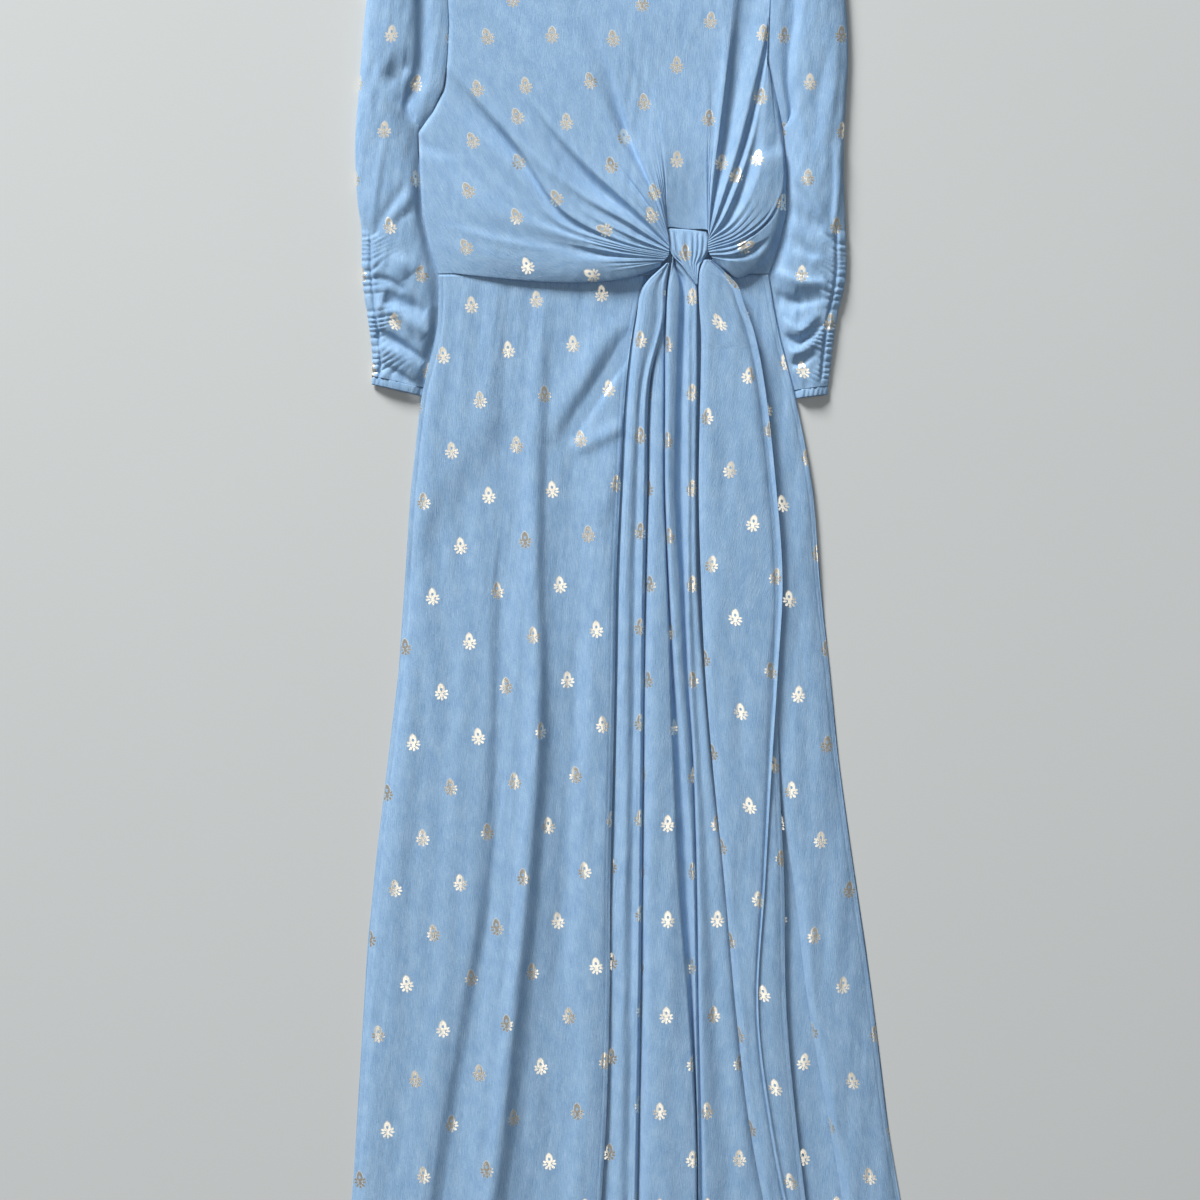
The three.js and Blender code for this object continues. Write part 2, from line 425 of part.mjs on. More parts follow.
const RIGHT_SLEEVE = [
  [115, 199.5, 219, 213, 0.66, 2.1, 2.3, 6.5], [109, 230, 222, 240, 0.56, 2.1, 2.3, 7],
  [105, 270, 228, 285, 0.5, 2.1, 2.3, 8], [105, 320, 238, 332, 0.43, 2.1, 2.3, 9],
  [112, 370, 238, 385, 0.45, 2.1, 2.3, 9.5], [124, 402, 237, 412, 0.45, 2.1, 2.3, 10],
  [148, 436, 236, 440, 0.3, 2.1, 2.3, 10], [173, 469, 236, 472, 0.08, 2.1, 2.3, 10],
  [172, 492, 237, 500, 0.12, 2.2, 2.3, 10],
  [167, 516, 239, 535, 0.16, 4.5, 2.8, 10], [158.5, 550, 241, 578, 0.2, 5.1, 3.2, 10],
  [154.4, 610, 238, 638, 0.33, 5.1, 3.6, 11], [156.4, 650, 233, 676, 0.36, 5.1, 4.4, 12],
  [163, 687, 222, 712, 0.4, 5.1, 5.4, 12], [170, 705, 201, 739, 0.45, 4.2, 5, 9],
  [175.6, 716, 180, 727, 0.5, 3.6, 4.2, 4.6],
];
const RUCHE_START = 214;      // the ruched seam runs along the outer fold between these heights
const RUCHE_END = 392;
const RUCHE_PLACE = 0.9;      // share of the sleeve's width where the ruched seam lies
const RUCHE_SPREAD = 0.22;    // share of the width over which a gather dies away
const RUCHE_FADE = 25;        // length over which the gathers die away at both ends of that seam
const RUCHE_ROWS = 4;         // spans of the sleeve tables, from the cuff up, that get the close sections
const FOLD_SHARE = 0.7;       // height near the outer fold as a share of the crest's
const DIP_STOP = 2;           // which stop of a section lies beside the body
const DIP_CLEAR = 1.5;        // distance of that stop from the body's side
const FOLD_STOP = 7;          // which stop is the outer fold

const TUCKED_HEIGHT = 2.1;    // height of a sleeve's front wall where it is tucked under the body
const ARMHOLE_ROLL = 1.5;     // how much the sleeve rises next to the armhole seam
const UNTUCK = 8;             // length above the underarm over which the tube opens to the armhole
const DIP_EASE = 24;          // length above the underarm over which the dip leaves the body's side

// The points of one section: out along the front wall, round the fold, back along the back wall.
function sleeveSection(row) {
  const [innerX, innerY, outerX, outerY, dip, seam, dipHeight, top] = row;
  const beside = 1 - dip;
  const crest = top * FULLNESS;
  const fold = crest * FOLD_SHARE;
  const seamHeight = mix(TUCKED_HEIGHT, seam, FULLNESS);
  const roll = innerY > UNDERARM_Y ? ARMHOLE_ROLL : 0;
  const stops = [
    [0, seamHeight], [dip * 0.5, Math.max(seamHeight, dipHeight) + roll],
    [dip, dipHeight], [dip + beside * 0.14, mix(dipHeight, crest, 0.75)],
    [dip + beside * 0.4, crest], [dip + beside * 0.7, crest * 0.96], [0.95, fold],
    [1, (fold + half) / 2], [0.95, half], [0.6, half], [0.25, half], [0, half],
  ];
  return stops.map(([t, z]) => new THREE.Vector3(mix(innerX, outerX, t), mix(innerY, outerY, t), z));
}

function sleeveMesh(name, table) {
  const fine = RUCHES * 3;      // sections along the ruched seam
  const coarse = 11;            // sections above it
  const body = table[0][2] > 0 ? 2 : 1;
  const outwards = table[0][2] > 0 ? 1 : -1;
  const endShare = RUCHE_ROWS / (table.length - 1);
  const shares = Array.from({ length: fine + 1 }, (_, k) => (endShare * k) / fine);
  for (let k = 1; k <= coarse; k += 1) shares.push(mix(endShare, 1, k / coarse));
  const sections = table.map(sleeveSection);
  const stopLines = sections[0].map((_, i) => {
    const points = sections.map((section) => section[i]);
    const curve = new THREE.CatmullRomCurve3(points, false, 'centripetal');
    return shares.map((share) => curve.getPoint(share));
  });
  const grid = stopLines.map(() => []);
  shares.forEach((_, j) => {
    const inner = stopLines[0][j];
    const outer = stopLines[FOLD_STOP][j];
    stopLines.forEach((line, i) => {
      const point = line[j];
      const across = (point.x - inner.x) / (outer.x - inner.x);
      const inside = Math.min(point.y - RUCHE_START, RUCHE_END - point.y) / RUCHE_FADE;
      const near = i <= FOLD_STOP ? bell((across - RUCHE_PLACE) / RUCHE_SPREAD) : 0;
      const wave = Math.cos((2 * Math.PI * j) / 3) * RUCHE_HEIGHT * smooth(inside) * near;
      const side = bodySide(point.y, body);
      let x = point.x;
      if (i === 0 || i === stopLines.length - 1) {
        x = mix(side + outwards * EDGE_CLEAR, x, smooth((UNDERARM_Y + UNTUCK - point.y) / UNTUCK));
      }
      if (i === DIP_STOP) {
        x = mix(side + outwards * DIP_CLEAR, x, smooth((point.y - UNDERARM_Y) / DIP_EASE));
      }
      grid[i].push(new THREE.Vector3(x, point.y, Math.max(half, point.z + wave)));
    });
  });
  return clothMesh(name, grid);
}

function cuffMesh(name, table) {
  const section = sleeveSection(table[0]);
  const grid = section.map((point) => [SEAM_GAP, SEAM_GAP + CUFF_DEPTH].map((drop) => (
    new THREE.Vector3(point.x, point.y - drop, Math.max(half, point.z))
  )).reverse());
  return clothMesh(name, grid, SHADE_COLOUR);
}

// ---- the dress ----------------------------------------------------------------------------------
const dress = new THREE.Group();
dress.add(
  bodiceBack(),
  skirtBack(),
  bodiceFront(),
  waistTab(),
  panel('skirt_left_front', SKIRT_STATIONS, LEFT_FRONT),
  panel('skirt_centre', CENTRE_STATIONS, CENTRE),
  panel('skirt_right_front', SKIRT_STATIONS, RIGHT_FRONT),
  panel('drape_left', DRAPE_STATIONS, LEFT_DRAPE),
  panel('drape_right', RIGHT_STATIONS, RIGHT_DRAPE),
  sleeveMesh('sleeve_left', LEFT_SLEEVE),
  sleeveMesh('sleeve_right', RIGHT_SLEEVE),
  cuffMesh('cuff_left', LEFT_SLEEVE),
  cuffMesh('cuff_right', RIGHT_SLEEVE),
);

export default dress;
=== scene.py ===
import math

import bmesh
import bpy
import numpy as np
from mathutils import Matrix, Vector


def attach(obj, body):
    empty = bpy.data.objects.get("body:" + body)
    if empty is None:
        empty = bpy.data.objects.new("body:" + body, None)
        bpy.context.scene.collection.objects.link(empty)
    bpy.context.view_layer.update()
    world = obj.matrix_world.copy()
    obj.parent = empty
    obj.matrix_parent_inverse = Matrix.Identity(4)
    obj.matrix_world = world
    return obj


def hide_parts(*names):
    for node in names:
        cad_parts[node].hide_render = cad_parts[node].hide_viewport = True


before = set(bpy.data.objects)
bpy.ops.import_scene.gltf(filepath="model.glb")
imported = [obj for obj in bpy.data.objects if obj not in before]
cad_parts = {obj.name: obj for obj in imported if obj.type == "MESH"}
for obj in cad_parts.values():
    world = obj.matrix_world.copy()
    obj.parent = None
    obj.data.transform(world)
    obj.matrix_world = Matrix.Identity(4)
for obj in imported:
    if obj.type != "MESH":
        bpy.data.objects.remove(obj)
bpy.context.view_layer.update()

# A twist waist dress laid flat, front up. Lengths below are in millimetres, in the frame of the part:
# +X to the viewer's right, +Y from hem to neck, +Z up off the table. Each piece of cloth is a grid
# that is moved onto the form of its own solid and then given the thickness of the cloth.

CLOTH = 0.4           # thickness of the voile with its crinkle
LIE = 0.3             # middle of the back cloth over the table
LAYER = 0.7           # a front cloth's middle lies this far over the back cloth
HALF_LENGTH = 756
HALF_HEM = 310
HEM_RISE = 18         # the hem curves up by this much to its sides
HEM_SIDE_Y = -738     # the hem's sides
FRONT_INSET = 1       # the front hems end this much above the back hem
WAIST_Y = 336
SHOULDER_Y = 716
UNDERARM_Y = 492
BACK_NECK_DROP = 20
NECK_START = 0.3      # share of the back's width from its side to the neck
TUCK_LIFT = 3.4       # the back rises this much over a sleeve that is tucked under it
TUCK_SHELF = 14       # how far past the sleeve's edge it stays raised
TUCK_RAMP = 50        # then it comes down over this width
SEAM_CLEAR = 0.15     # half of the gap that a sewn seam keeps
CUFF_DEPTH = 9
FULLNESS = 1.4        # how high the folds stand: it multiplies the heights in the tables
PITCH = 36            # distance of the columns of foil motifs on the flat cloth
REPEAT = 105          # distance of two motifs in a column


# ---- the forms of the pieces ---------------------------------------------------------------------

TUCK_EDGE = [
    # y, inner edge of the left sleeve, inner edge of the right sleeve
    [490, -308, 249], [474, -271, 211], [462, -237, 178], [448, -224, 165], [436, -211, 153],
    [400, -186, 127], [370, -174, 113], [320, -166, 105], [225, -170, 109], [178, -176, 115],
    [-60, -340, 280], [-80, -700, 700],
]
BODY_EDGE = [
    # y, left edge, right edge of the bodice: shoulder, armhole, underarm, side seam
    [716, -218, 175], [690, -207, 164], [650, -199, 156], [610, -197, 154], [570, -199, 152],
    [540, -203, 160], [515, -215, 166], [492, -231, 170], [480, -230.5, 170.8], [469, -230, 171.5],
    [458, -229.5, 172.3], [446, -229, 173],
    [424, -228, 173], [402, -227, 173], [368, -219, 165], [336, -209, 154],
]
SKIRT_EDGE = [
    # y, left edge, right edge of the skirt
    [336, -209, 154], [300, -206, 160], [270, -212, 166], [200, -228, 184], [100, -239, 203],
    [0, -246, 211], [-100, -253, 222], [-200, -265, 232], [-300, -277, 246], [-400, -287, 261],
    [-500, -293, 274], [-600, -299, 286], [-682, -304, 297], [HEM_SIDE_Y, -HALF_HEM, HALF_HEM],
]
SKIRT_STATIONS = [335.5, 270, 200, 100, 0, -100, -200, -330, -470, -600, -740]
LEFT_FRONT = [
    # x at each of the stations above, then height at the top, the middle and the hem
    [-208, -211, -227, -238, -245, -252, -264, -279, -290, -298, -309, 0, 0, 0],
    [-200, -202, -216, -226, -233, -240, -252, -266, -277, -285, -296, 0.2, 4, 4],
    [-176, -180, -192, -198, -202, -206, -215, -222, -236, -248, -262, 0.2, 4.5, 6],
    [-142, -144, -148, -150, -152, -154, -156, -162, -186, -208, -230, 0.2, 5.5, 9],
    [-130, -132, -136, -138, -140, -142, -143, -148, -171, -192, -213, 0.2, 3.5, 4],
    [-112, -114, -116, -118, -119, -119, -120, -128, -143, -158, -176, 0.2, 6.5, 7.5],
    [-94, -96, -98, -101, -102, -99, -101, -111, -126, -140, -158, 0.1, 9.5, 11],
    [-84, -86, -87, -89, -90, -87, -88, -96, -110, -123, -140, 0.2, 3.6, 3.6],
    [-52, -52, -56, -58, -60, -61, -62, -66, -72, -78, -88, 0.4, 1.2, 1.5],
    [-14, -18, -26, -34, -38, -40, -42, -44, -47, -50, -58, 0.4, 4.8, 5.5],
    [14, 1, -7, -13, -18, -20, -22, -25, -26.5, -30, -41, 0.4, 4, 5.6],
    [17, 4, -4, -9, -13.5, -15, -17, -20, -21, -25, -35, 0.2, 2, 4.4],
]
DRAPE_STATIONS = [347, 322, 285, 215, 100, 0, -100, -200, -330, -470, -600, -740]
LEFT_DRAPE = [
    # x at each of its stations, which start at the left twist point, then the three heights
    [41, 16, 8.5, 0.5, -6, -10, -12, -14, -18, -26, -34, -45, 4, 0.8, 0.2],
    [41.6, 19, 12, 4.5, -2, -6, -8, -9, -12, -16, -21, -28, 9, 4.6, 0.2],
    [42.3, 27, 22, 10.5, 3, 0, -1, -2, -4, -6, -8, -12, 9.5, 5, 4.6],
    [43, 33, 31, 15, 9.5, 7, 6, 5, 4, 3, 1, -3, 8.5, 2.6, 3.2],
    [43.7, 38, 36.5, 20, 16.5, 15, 13.5, 13, 11.5, 10, 8, 5, 9, 4.8, 4.6],
    [44.5, 41, 38.8, 23, 20.2, 18, 16.6, 15.6, 14.6, 13, 10.8, 7.6, 8.5, 1, 1],
]
CENTRE_STATIONS = [356, 345, 332, 318, 285, 215, 100, 0, -100, -200, -330, -470, -600, -740]
CENTRE = [
    # x at each of its stations, then the three heights: strips between deep folds, which spread
    # from the left twist point
    [46, 44.5, 41.5, 38, 34, 24.6, 21.6, 19.4, 18, 17, 16, 14.6, 12.6, 9.8, 0, 0.6, 0.6],
    [46.8, 45.4, 42.4, 39, 35.5, 28, 25.5, 23.5, 22, 21, 21.5, 22, 21, 19, -2, 6, 7.5],
    [47.4, 45.9, 43, 39.8, 37, 36, 35.5, 39, 42.5, 45, 50, 61, 68, 69, -2.5, 7, 9],
    [47.7, 46.2, 43.4, 40.4, 38.5, 38, 37.7, 41.5, 45, 48.5, 54, 65.5, 73, 74.5, -2.5, 6, 8.2],
    [48, 46.6, 43.8, 41.2, 40.2, 39.5, 39.2, 43, 48, 55, 62, 69.5, 74.6, 76, 1, 0.5, 0.5],
    [48.6, 47.4, 45.5, 44, 43, 43, 42.5, 46.5, 53, 62, 70.5, 73, 76, 77.4, 7, 8, 6],
    [50, 49.5, 53.5, 55, 54, 51.5, 49.5, 55, 60, 68, 72.6, 74.8, 77.6, 79.2, 6, 6.5, 5.6],
    [50.6, 51, 57.5, 60, 60, 58, 57, 60, 64, 70.4, 74.2, 76.4, 79.4, 82, 2, 0.8, 4.6],
    [51.4, 53, 62, 65, 65.3, 65, 65, 65, 67.5, 73, 77, 79, 82.4, 86, 4.5, 7, 6.8],
    [53.5, 56, 66, 69.5, 69.5, 69.5, 69, 69.5, 73.5, 79.5, 88, 94, 103, 115, 5, 6.2, 3.8],
    [56, 60, 70.5, 74, 74, 74, 72.5, 74, 80, 88, 102, 112, 127, 150, 4.5, 6.2, 5],
    [60, 66, 75, 77.6, 78.4, 79, 79, 81, 87, 96, 112, 124, 140, 166, 1, 0.5, 1.2],
    [68, 76, 84, 92, 106, 118, 124, 128, 132, 142, 156, 170, 184, 200, 0.4, 0.4, 1.2],
    [74, 82, 92, 102, 117, 130, 138, 144, 150, 162, 178, 196, 212, 230, 0.2, 0.2, 0.6],
    [80, 88, 99, 109, 126, 140, 150, 158, 166, 180, 200, 224, 242, 262, 0, 0, 0],
]
RIGHT_FRONT = [
    # x at each of the skirt's stations, then the three heights
    [97, 117, 131, 142, 146, 149, 160, 181, 198, 221, 246, 1.7, 1.2, 1.4],
    [104, 123, 137, 148, 152, 156, 168, 187, 204, 227, 252, 1.6, 3.4, 6],
    [118, 136, 152, 165, 173, 178, 188, 206, 224, 244, 268, 0.6, 4.4, 5.4],
    [134, 150, 168, 184, 192, 200, 210, 226, 243, 261, 284, 0.2, 4, 4.4],
    [147, 159, 176, 195, 203, 213, 223, 239, 257, 275, 298, 0.1, 2.4, 2.8],
    [153, 165, 183, 202, 210, 221, 231, 249, 269, 285, 309, 0, 0.3, 0],
]
RIGHT_STATIONS = [350, 338, 322, 300, 270, 215, 100, 0, -100, -200, -330, -470, -600, -740]
RIGHT_DRAPE = [
    # x at each of its stations, then the three heights: a long leaf of cloth whose right edge turns
    # under over a second strip
    [82.5, 77.4, 76.8, 77.5, 79.6, 79, 77, 79.5, 84, 92, 105, 117.5, 133, 162, 6.5, 6.2, 6.2],
    [84, 80.4, 79.6, 80.6, 83, 83, 81.5, 85.5, 90.5, 98, 110.5, 122, 138, 167, 11, 8.8, 8.6],
    [86, 88, 93, 97, 102, 107.5, 112, 117, 119, 122, 127.5, 131, 145, 175, 11.6, 9.4, 8.8],
    [87.6, 96, 107, 115, 124, 135, 149, 155, 152, 149, 144.5, 137.5, 152, 181, 11, 9.8, 8.6],
    [88.4, 99.6, 113, 121, 131.5, 143, 157.5, 164.5, 160, 154.5, 147.8, 140.4, 155, 184.2, 8.2, 7.8, 7.8],
    [89.6, 103.4, 119, 127, 137.5, 148.5, 161.5, 168.5, 163.5, 157, 149.6, 142, 157, 186.4, 9.6, 9.6, 8.6],
    [89, 102, 117.4, 125.2, 135.5, 146.5, 159.5, 166.5, 163, 155.5, 148, 142.2, 160, 189, 7.8, 7.6, 7.4],
    [88.4, 101, 115.6, 123.2, 133.4, 144, 157, 164, 162, 160.6, 162, 160, 170, 195, 6.4, 6.4, 7.2],
    [89, 102.6, 117, 124.8, 135, 146, 158.5, 165.5, 164, 165, 171, 173.5, 185, 203, 5.4, 5.2, 5],
]
FRONT = [
    # one line of the drape a row, anticlockwise round the two twist points: x and y at the waist, near
    # it, in the middle, far out and at the edge, the height at the waist, along the drape and at the
    # edge, then the depth of the fold to the next line and the share of the line that it reaches
    [36, 347.5, 0, 338, -58, 336.4, -135, 336.4, -208, 336.4, 3, 0, 0, 0, 1],
    [35.5, 346.5, 1, 337, -57, 335, -134, 335.6, -208.5, 337, 5.5, 4.5, 0, 0, 1],
    [34.5, 344, 3, 332, -50, 326.5, -130, 330, -209.5, 339, 8, 5.4, 0, 0, 1],
    [36, 348, -2, 341, -55, 335, -132, 340, -213, 347, 11, 8, 0, 1.5, 0.4],
    [39, 350, -8, 349, -66, 350, -143, 356, -218.5, 368, 12, 9, 0, 5, 0.62],
    [41, 352, -9, 357, -67, 368.5, -142, 382, -225.5, 396, 12, 8.5, 0, 2.5, 0.5],
    [42.5, 353.5, -10, 361.5, -67, 376, -143, 404, -228, 434, 12, 9.5, 0, 2.5, 0.5],
    [43.5, 355, -9.5, 364, -72, 383, -143, 428, -230, 476, 12, 7.5, 0.4, 1.5, 0.5],
    [44, 356, -9, 366, -80, 394, -136, 460, -215, 515, 12, 8, 2, 8, 1.1],
    [44.3, 357.5, -7, 370, -72, 404.5, -121, 475, -199, 565, 12, 10, 3, 2.5, 0.5],
    [44.5, 359.5, -2, 378, -70, 418, -118, 493, -197.5, 595, 12, 9, 3, 3.5, 0.6],
    [44.6, 362.5, 3, 389, -64, 431.5, -112, 506, -198, 632, 12, 10, 3, 8, 0.85],
    [44.5, 366.5, 11, 401, -45, 453, -99, 515, -202, 665, 12, 8, 3, 1.5, 0.45],
    [44.3, 369, 18, 407, -29, 463, -80, 535, -208.5, 695, 12, 8, 3, 2.5, 0.6],
    [44, 371, 22.5, 411, -19, 470, -65, 550, -214, 716.5, 12, 7, 0, 1.5, 0.45],
    [43.8, 373, 26, 414, -9, 477, -46, 558, -165, 733, 12, 8, 0, 6, 0.95],
    [43.6, 375.5, 30, 421, 4, 490, -22, 574, -103, 754, 12, 6, 0, 1.5, 0.45],
    [43.3, 378, 32.5, 432, 12, 506, -11, 592, -95, 727, 11, 5.5, 0, 1, 0.5],
    [42.8, 381, 35, 445, 19, 527, -2, 608, -81, 704, 10, 4.5, 0, 0.8, 0.5],
    [42.4, 386, 41, 460, 28, 548, 8, 622, -62, 687, 9, 4, 0, 0, 1],
    [64, 384.5, 64, 463, 58, 552, 40, 628, -21, 672, 8, 3.5, 0, 0, 1],
    [86.6, 383, 85, 460, 86, 548, 76, 625, 26, 690, 9, 4, 0, 1, 0.5],
    [87.3, 380.6, 87, 442, 91, 530, 90, 622, 46, 722, 10, 4.5, 0, 1, 0.5],
    [87.5, 379, 88.3, 427, 95, 507, 101, 602, 60, 754, 11, 6, 0, 1.5, 0.5],
    [87.7, 377, 90, 414, 99.5, 492, 110, 578, 128, 732, 12, 8.5, 0, 8, 1.1],
    [87.7, 375, 97.5, 403, 121, 475, 139, 548, 171, 716.5, 12, 9, 0, 6, 1.05],
    [87.6, 373, 103, 394, 129.5, 461, 146, 528, 162, 690, 12, 9, 2.6, 5.5, 0.75],
    [87.4, 371, 116, 391, 144, 447, 151, 512, 155, 650, 12, 10, 3, 1.5, 0.5],
    [87, 368.5, 119, 385, 152, 437, 156, 498, 152, 610, 12, 9.5, 3, 1, 0.5],
    [86.8, 366, 120, 380, 155, 422, 162, 476, 151, 570, 12, 9, 3, 1.5, 0.5],
    [86.9, 363.5, 120, 375, 155, 406, 167, 452, 161.5, 530, 12, 9, 3, 2.5, 0.6],
    [87.2, 361, 118, 370, 150, 392, 168, 428, 169, 492, 12, 9.5, 0.5, 6, 0.8],
    [87.8, 358.5, 116, 363, 144, 381, 164, 402, 172, 440, 12, 9.5, 0.5, 2, 0.5],
    [89.2, 355.5, 114, 356.5, 140, 368, 159, 381, 170, 396, 12, 9.5, 0, 5.5, 0.75],
    [91.5, 352.5, 112, 348, 133, 350, 151, 359, 165, 371, 11, 9, 0, 0, 1],
    [93, 349, 106, 340, 119, 331, 137, 339, 161, 357, 8, 6, 0, 0, 1],
    [92, 351, 105, 343.5, 121, 337.4, 138, 342, 157, 347, 5.5, 3.5, 0, 0, 1],
    [91.5, 352, 104, 344.5, 121, 336.6, 137, 336.4, 153, 336.4, 3, 0, 0, 0, 1],
]
TAB = [
    # y, left edge, right edge, height
    [383.2, 43.6, 85.9, 7], [372, 46.3, 86, 8.5], [361, 48, 84.5, 9.5], [352.4, 52, 81, 9.8],
    [345.7, 57, 77.6, 9.8], [332.2, 67, 75.6, 9.8], [323.4, 73.8, 75.2, 9.2],
]
LEFT_SLEEVE = [
    # from the cuff up: x and y of the inner edge, x and y of the outer edge, the dip's share of the
    # width, then the height at the seam, in the dip and on the crest
    [-176, 199.5, -282, 224, 0.49, 2.1, 2.3, 6.5], [-170, 230, -281, 246, 0.46, 2.1, 2.3, 7],
    [-166, 270, -286, 288, 0.36, 2.1, 2.3, 8], [-166, 320, -292, 332, 0.35, 2.1, 2.3, 9],
    [-173, 370, -293, 385, 0.4, 2.1, 2.3, 9.5], [-185, 402, -297, 412, 0.37, 2.1, 2.3, 10],
    [-208, 436, -299, 440, 0.22, 2.1, 2.3, 10], [-231.5, 469, -300, 472, 0.08, 2.1, 2.3, 10],
    [-232.5, 492, -299, 500, 0.12, 2.2, 2.3, 10],
    [-216, 516, -296, 535, 0.34, 4.5, 2.8, 10], [-201, 550, -293, 578, 0.32, 5.1, 3.2, 10],
    [-197.4, 610, -287, 638, 0.34, 5.1, 3.6, 11], [-199.4, 650, -281, 676, 0.36, 5.1, 4.4, 12],
    [-206, 687, -267, 712, 0.4, 5.1, 5.4, 12], [-213, 705, -245, 739, 0.45, 4.2, 5, 9],
    [-218.6, 716, -223, 727, 0.5, 3.6, 4.2, 4.6],
]
RIGHT_SLEEVE = [
    # the same columns
    [115, 199.5, 219, 213, 0.66, 2.1, 2.3, 6.5], [109, 230, 222, 240, 0.56, 2.1, 2.3, 7],
    [105, 270, 228, 285, 0.5, 2.1, 2.3, 8], [105, 320, 238, 332, 0.43, 2.1, 2.3, 9],
    [112, 370, 238, 385, 0.45, 2.1, 2.3, 9.5], [124, 402, 237, 412, 0.45, 2.1, 2.3, 10],
    [148, 436, 236, 440, 0.3, 2.1, 2.3, 10], [173, 469, 236, 472, 0.08, 2.1, 2.3, 10],
    [172, 492, 237, 500, 0.12, 2.2, 2.3, 10],
    [167, 516, 239, 535, 0.16, 4.5, 2.8, 10], [158.5, 550, 241, 578, 0.2, 5.1, 3.2, 10],
    [154.4, 610, 238, 638, 0.33, 5.1, 3.6, 11], [156.4, 650, 233, 676, 0.36, 5.1, 4.4, 12],
    [163, 687, 222, 712, 0.4, 5.1, 5.4, 12], [170, 705, 201, 739, 0.45, 4.2, 5, 9],
    [175.6, 716, 180, 727, 0.5, 3.6, 4.2, 4.6],
]


# ---- small tools ---------------------------------------------------------------------------------
def smooth(x):
    x = np.clip(x, 0, 1)
    return x * x * (3 - 2 * x)


def along(table, key, column):
    """A value read from a table whose first column is the key, in falling order."""
    rows = np.array([(row[0], row[column]) for row in table][::-1], float)
    return np.interp(key, rows[:, 0], rows[:, 1])


def curve(points, shares):
    """Points at the given shares of the smooth curves through points[0], points[1] and so on."""
    points = np.asarray(points, float)
    place = np.asarray(shares, float) * (len(points) - 1)
    k = np.minimum(place.astype(int), len(points) - 2)
    w = (place - k).reshape((-1,) + (1,) * (points.ndim - 1))
    ends = [2 * points[:1] - points[1:2], points, 2 * points[-1:] - points[-2:-1]]
    line = np.concatenate(ends)
    a, b, c, d = line[k], line[k + 1], line[k + 2], line[k + 3]

    def knot(p, q):
        return np.sqrt(np.maximum(np.linalg.norm(q - p, axis=-1, keepdims=True), 1e-4))

    ab, bc, cd = knot(a, b), knot(b, c), knot(c, d)
    out = ((b - a) / ab - (c - a) / (ab + bc) + (c - b) / bc) * bc
    into = ((c - b) / bc - (d - b) / (bc + cd) + (d - c) / cd) * bc
    return b + w * (out + w * (3 * (c - b) - 2 * out - into + w * (2 * (b - c) + out + into)))


def back_height(x, y):
    """Height of the back cloth: flat on the table, but raised over the tucked sleeves."""
    left = smooth((along(TUCK_EDGE, y, 1) + TUCK_RAMP + TUCK_SHELF - x) / TUCK_RAMP)
    right = smooth((x - along(TUCK_EDGE, y, 2) + TUCK_RAMP + TUCK_SHELF) / TUCK_RAMP)
    return LIE + TUCK_LIFT * np.maximum(left, right)


def body_side(y, column):
    """The dress's left (column 1) or right (column 2) side at each y."""
    return np.where(y >= WAIST_Y, along(BODY_EDGE, y, column), along(SKIRT_EDGE, y, column))


def hem_y(x):
    return -HALF_LENGTH + HEM_RISE * (x / HALF_HEM) ** 2


def crinkle(x, y, seed, across, down, waves=36):
    """Soft uneven puckers between about -1 and 1, some across mm wide and down mm long."""
    dice = np.random.RandomState(seed)
    total = np.zeros_like(x)
    for _ in range(waves):
        across_rate = dice.uniform(0.35, 1.4) / across * dice.choice([-1, 1])
        down_rate = dice.uniform(0.2, 1.8) / down
        total += np.sin(2 * math.pi * (across_rate * x + down_rate * y + dice.rand()))
    return total / math.sqrt(waves)


CREASE_STEPS = 8
STEEP_SIDE = 0.7      # a crease's half width on its right and its left side, as a share of the row's
SLACK_SIDE = 1.3


def creases(x, y, rows):
    """Folds laid along listed lines: each row is three points (x, y), the half width and the height,
    negative for a trough. A fold is steeper on its right side and dies away at its ends."""
    total = np.zeros_like(x)
    for row in rows:
        line = curve(np.array(row[:6], float).reshape(3, 2), np.linspace(0, 1, CREASE_STEPS + 1))
        width, height = row[6:8]
        near = np.full(x.shape, np.inf)
        share = np.zeros_like(x)
        side = np.zeros_like(x)
        for k in range(CREASE_STEPS):
            dx, dy = line[k + 1] - line[k]
            t = np.clip(((x - line[k][0]) * dx + (y - line[k][1]) * dy) / (dx * dx + dy * dy), 0, 1)
            gap_x, gap_y = x - line[k][0] - t * dx, y - line[k][1] - t * dy
            gap = np.hypot(gap_x, gap_y)
            closer = gap < near
            near = np.where(closer, gap, near)
            share = np.where(closer, (k + t) / CREASE_STEPS, share)
            side = np.where(closer, np.sign(gap_x), side)
        slant = width * np.where(side > 0, STEEP_SIDE, SLACK_SIDE)
        fade = np.sqrt(np.sin(math.pi * np.clip(share, 0.001, 0.999)))
        total += height * fade * np.exp(-(near / slant) ** 2)
    return total


def flat_cut(points, anchor, tilt, line=None):
    """Where each point lies on the flat cloth: across the grain and along it from an anchor. Round a
    tube the grain follows one line of the grid."""
    lean = math.radians(tilt)
    steps = np.linalg.norm(np.diff(points, axis=0), axis=2)
    reach = np.concatenate([np.zeros((1, points.shape[1])), np.cumsum(steps, axis=0)])
    flat = np.zeros(points.shape[:2] + (2,))
    for j in range(points.shape[1]):
        row = points[:, j]
        middle_y = row[:, 1].mean()
        if line is None:
            grain_x = anchor[0] + (anchor[1] - middle_y) * math.tan(lean)
            order = np.argsort(row[:, 0])
            start = np.interp(grain_x, row[order, 0], reach[order, j])
        else:
            start = reach[line, j]
        from_grain = reach[:, j] - start
        flat[:, j, 0] = from_grain * math.cos(lean)
        flat[:, j, 1] = (row[:, 1] - anchor[1]) / math.cos(lean) - from_grain * math.sin(lean)
    return flat


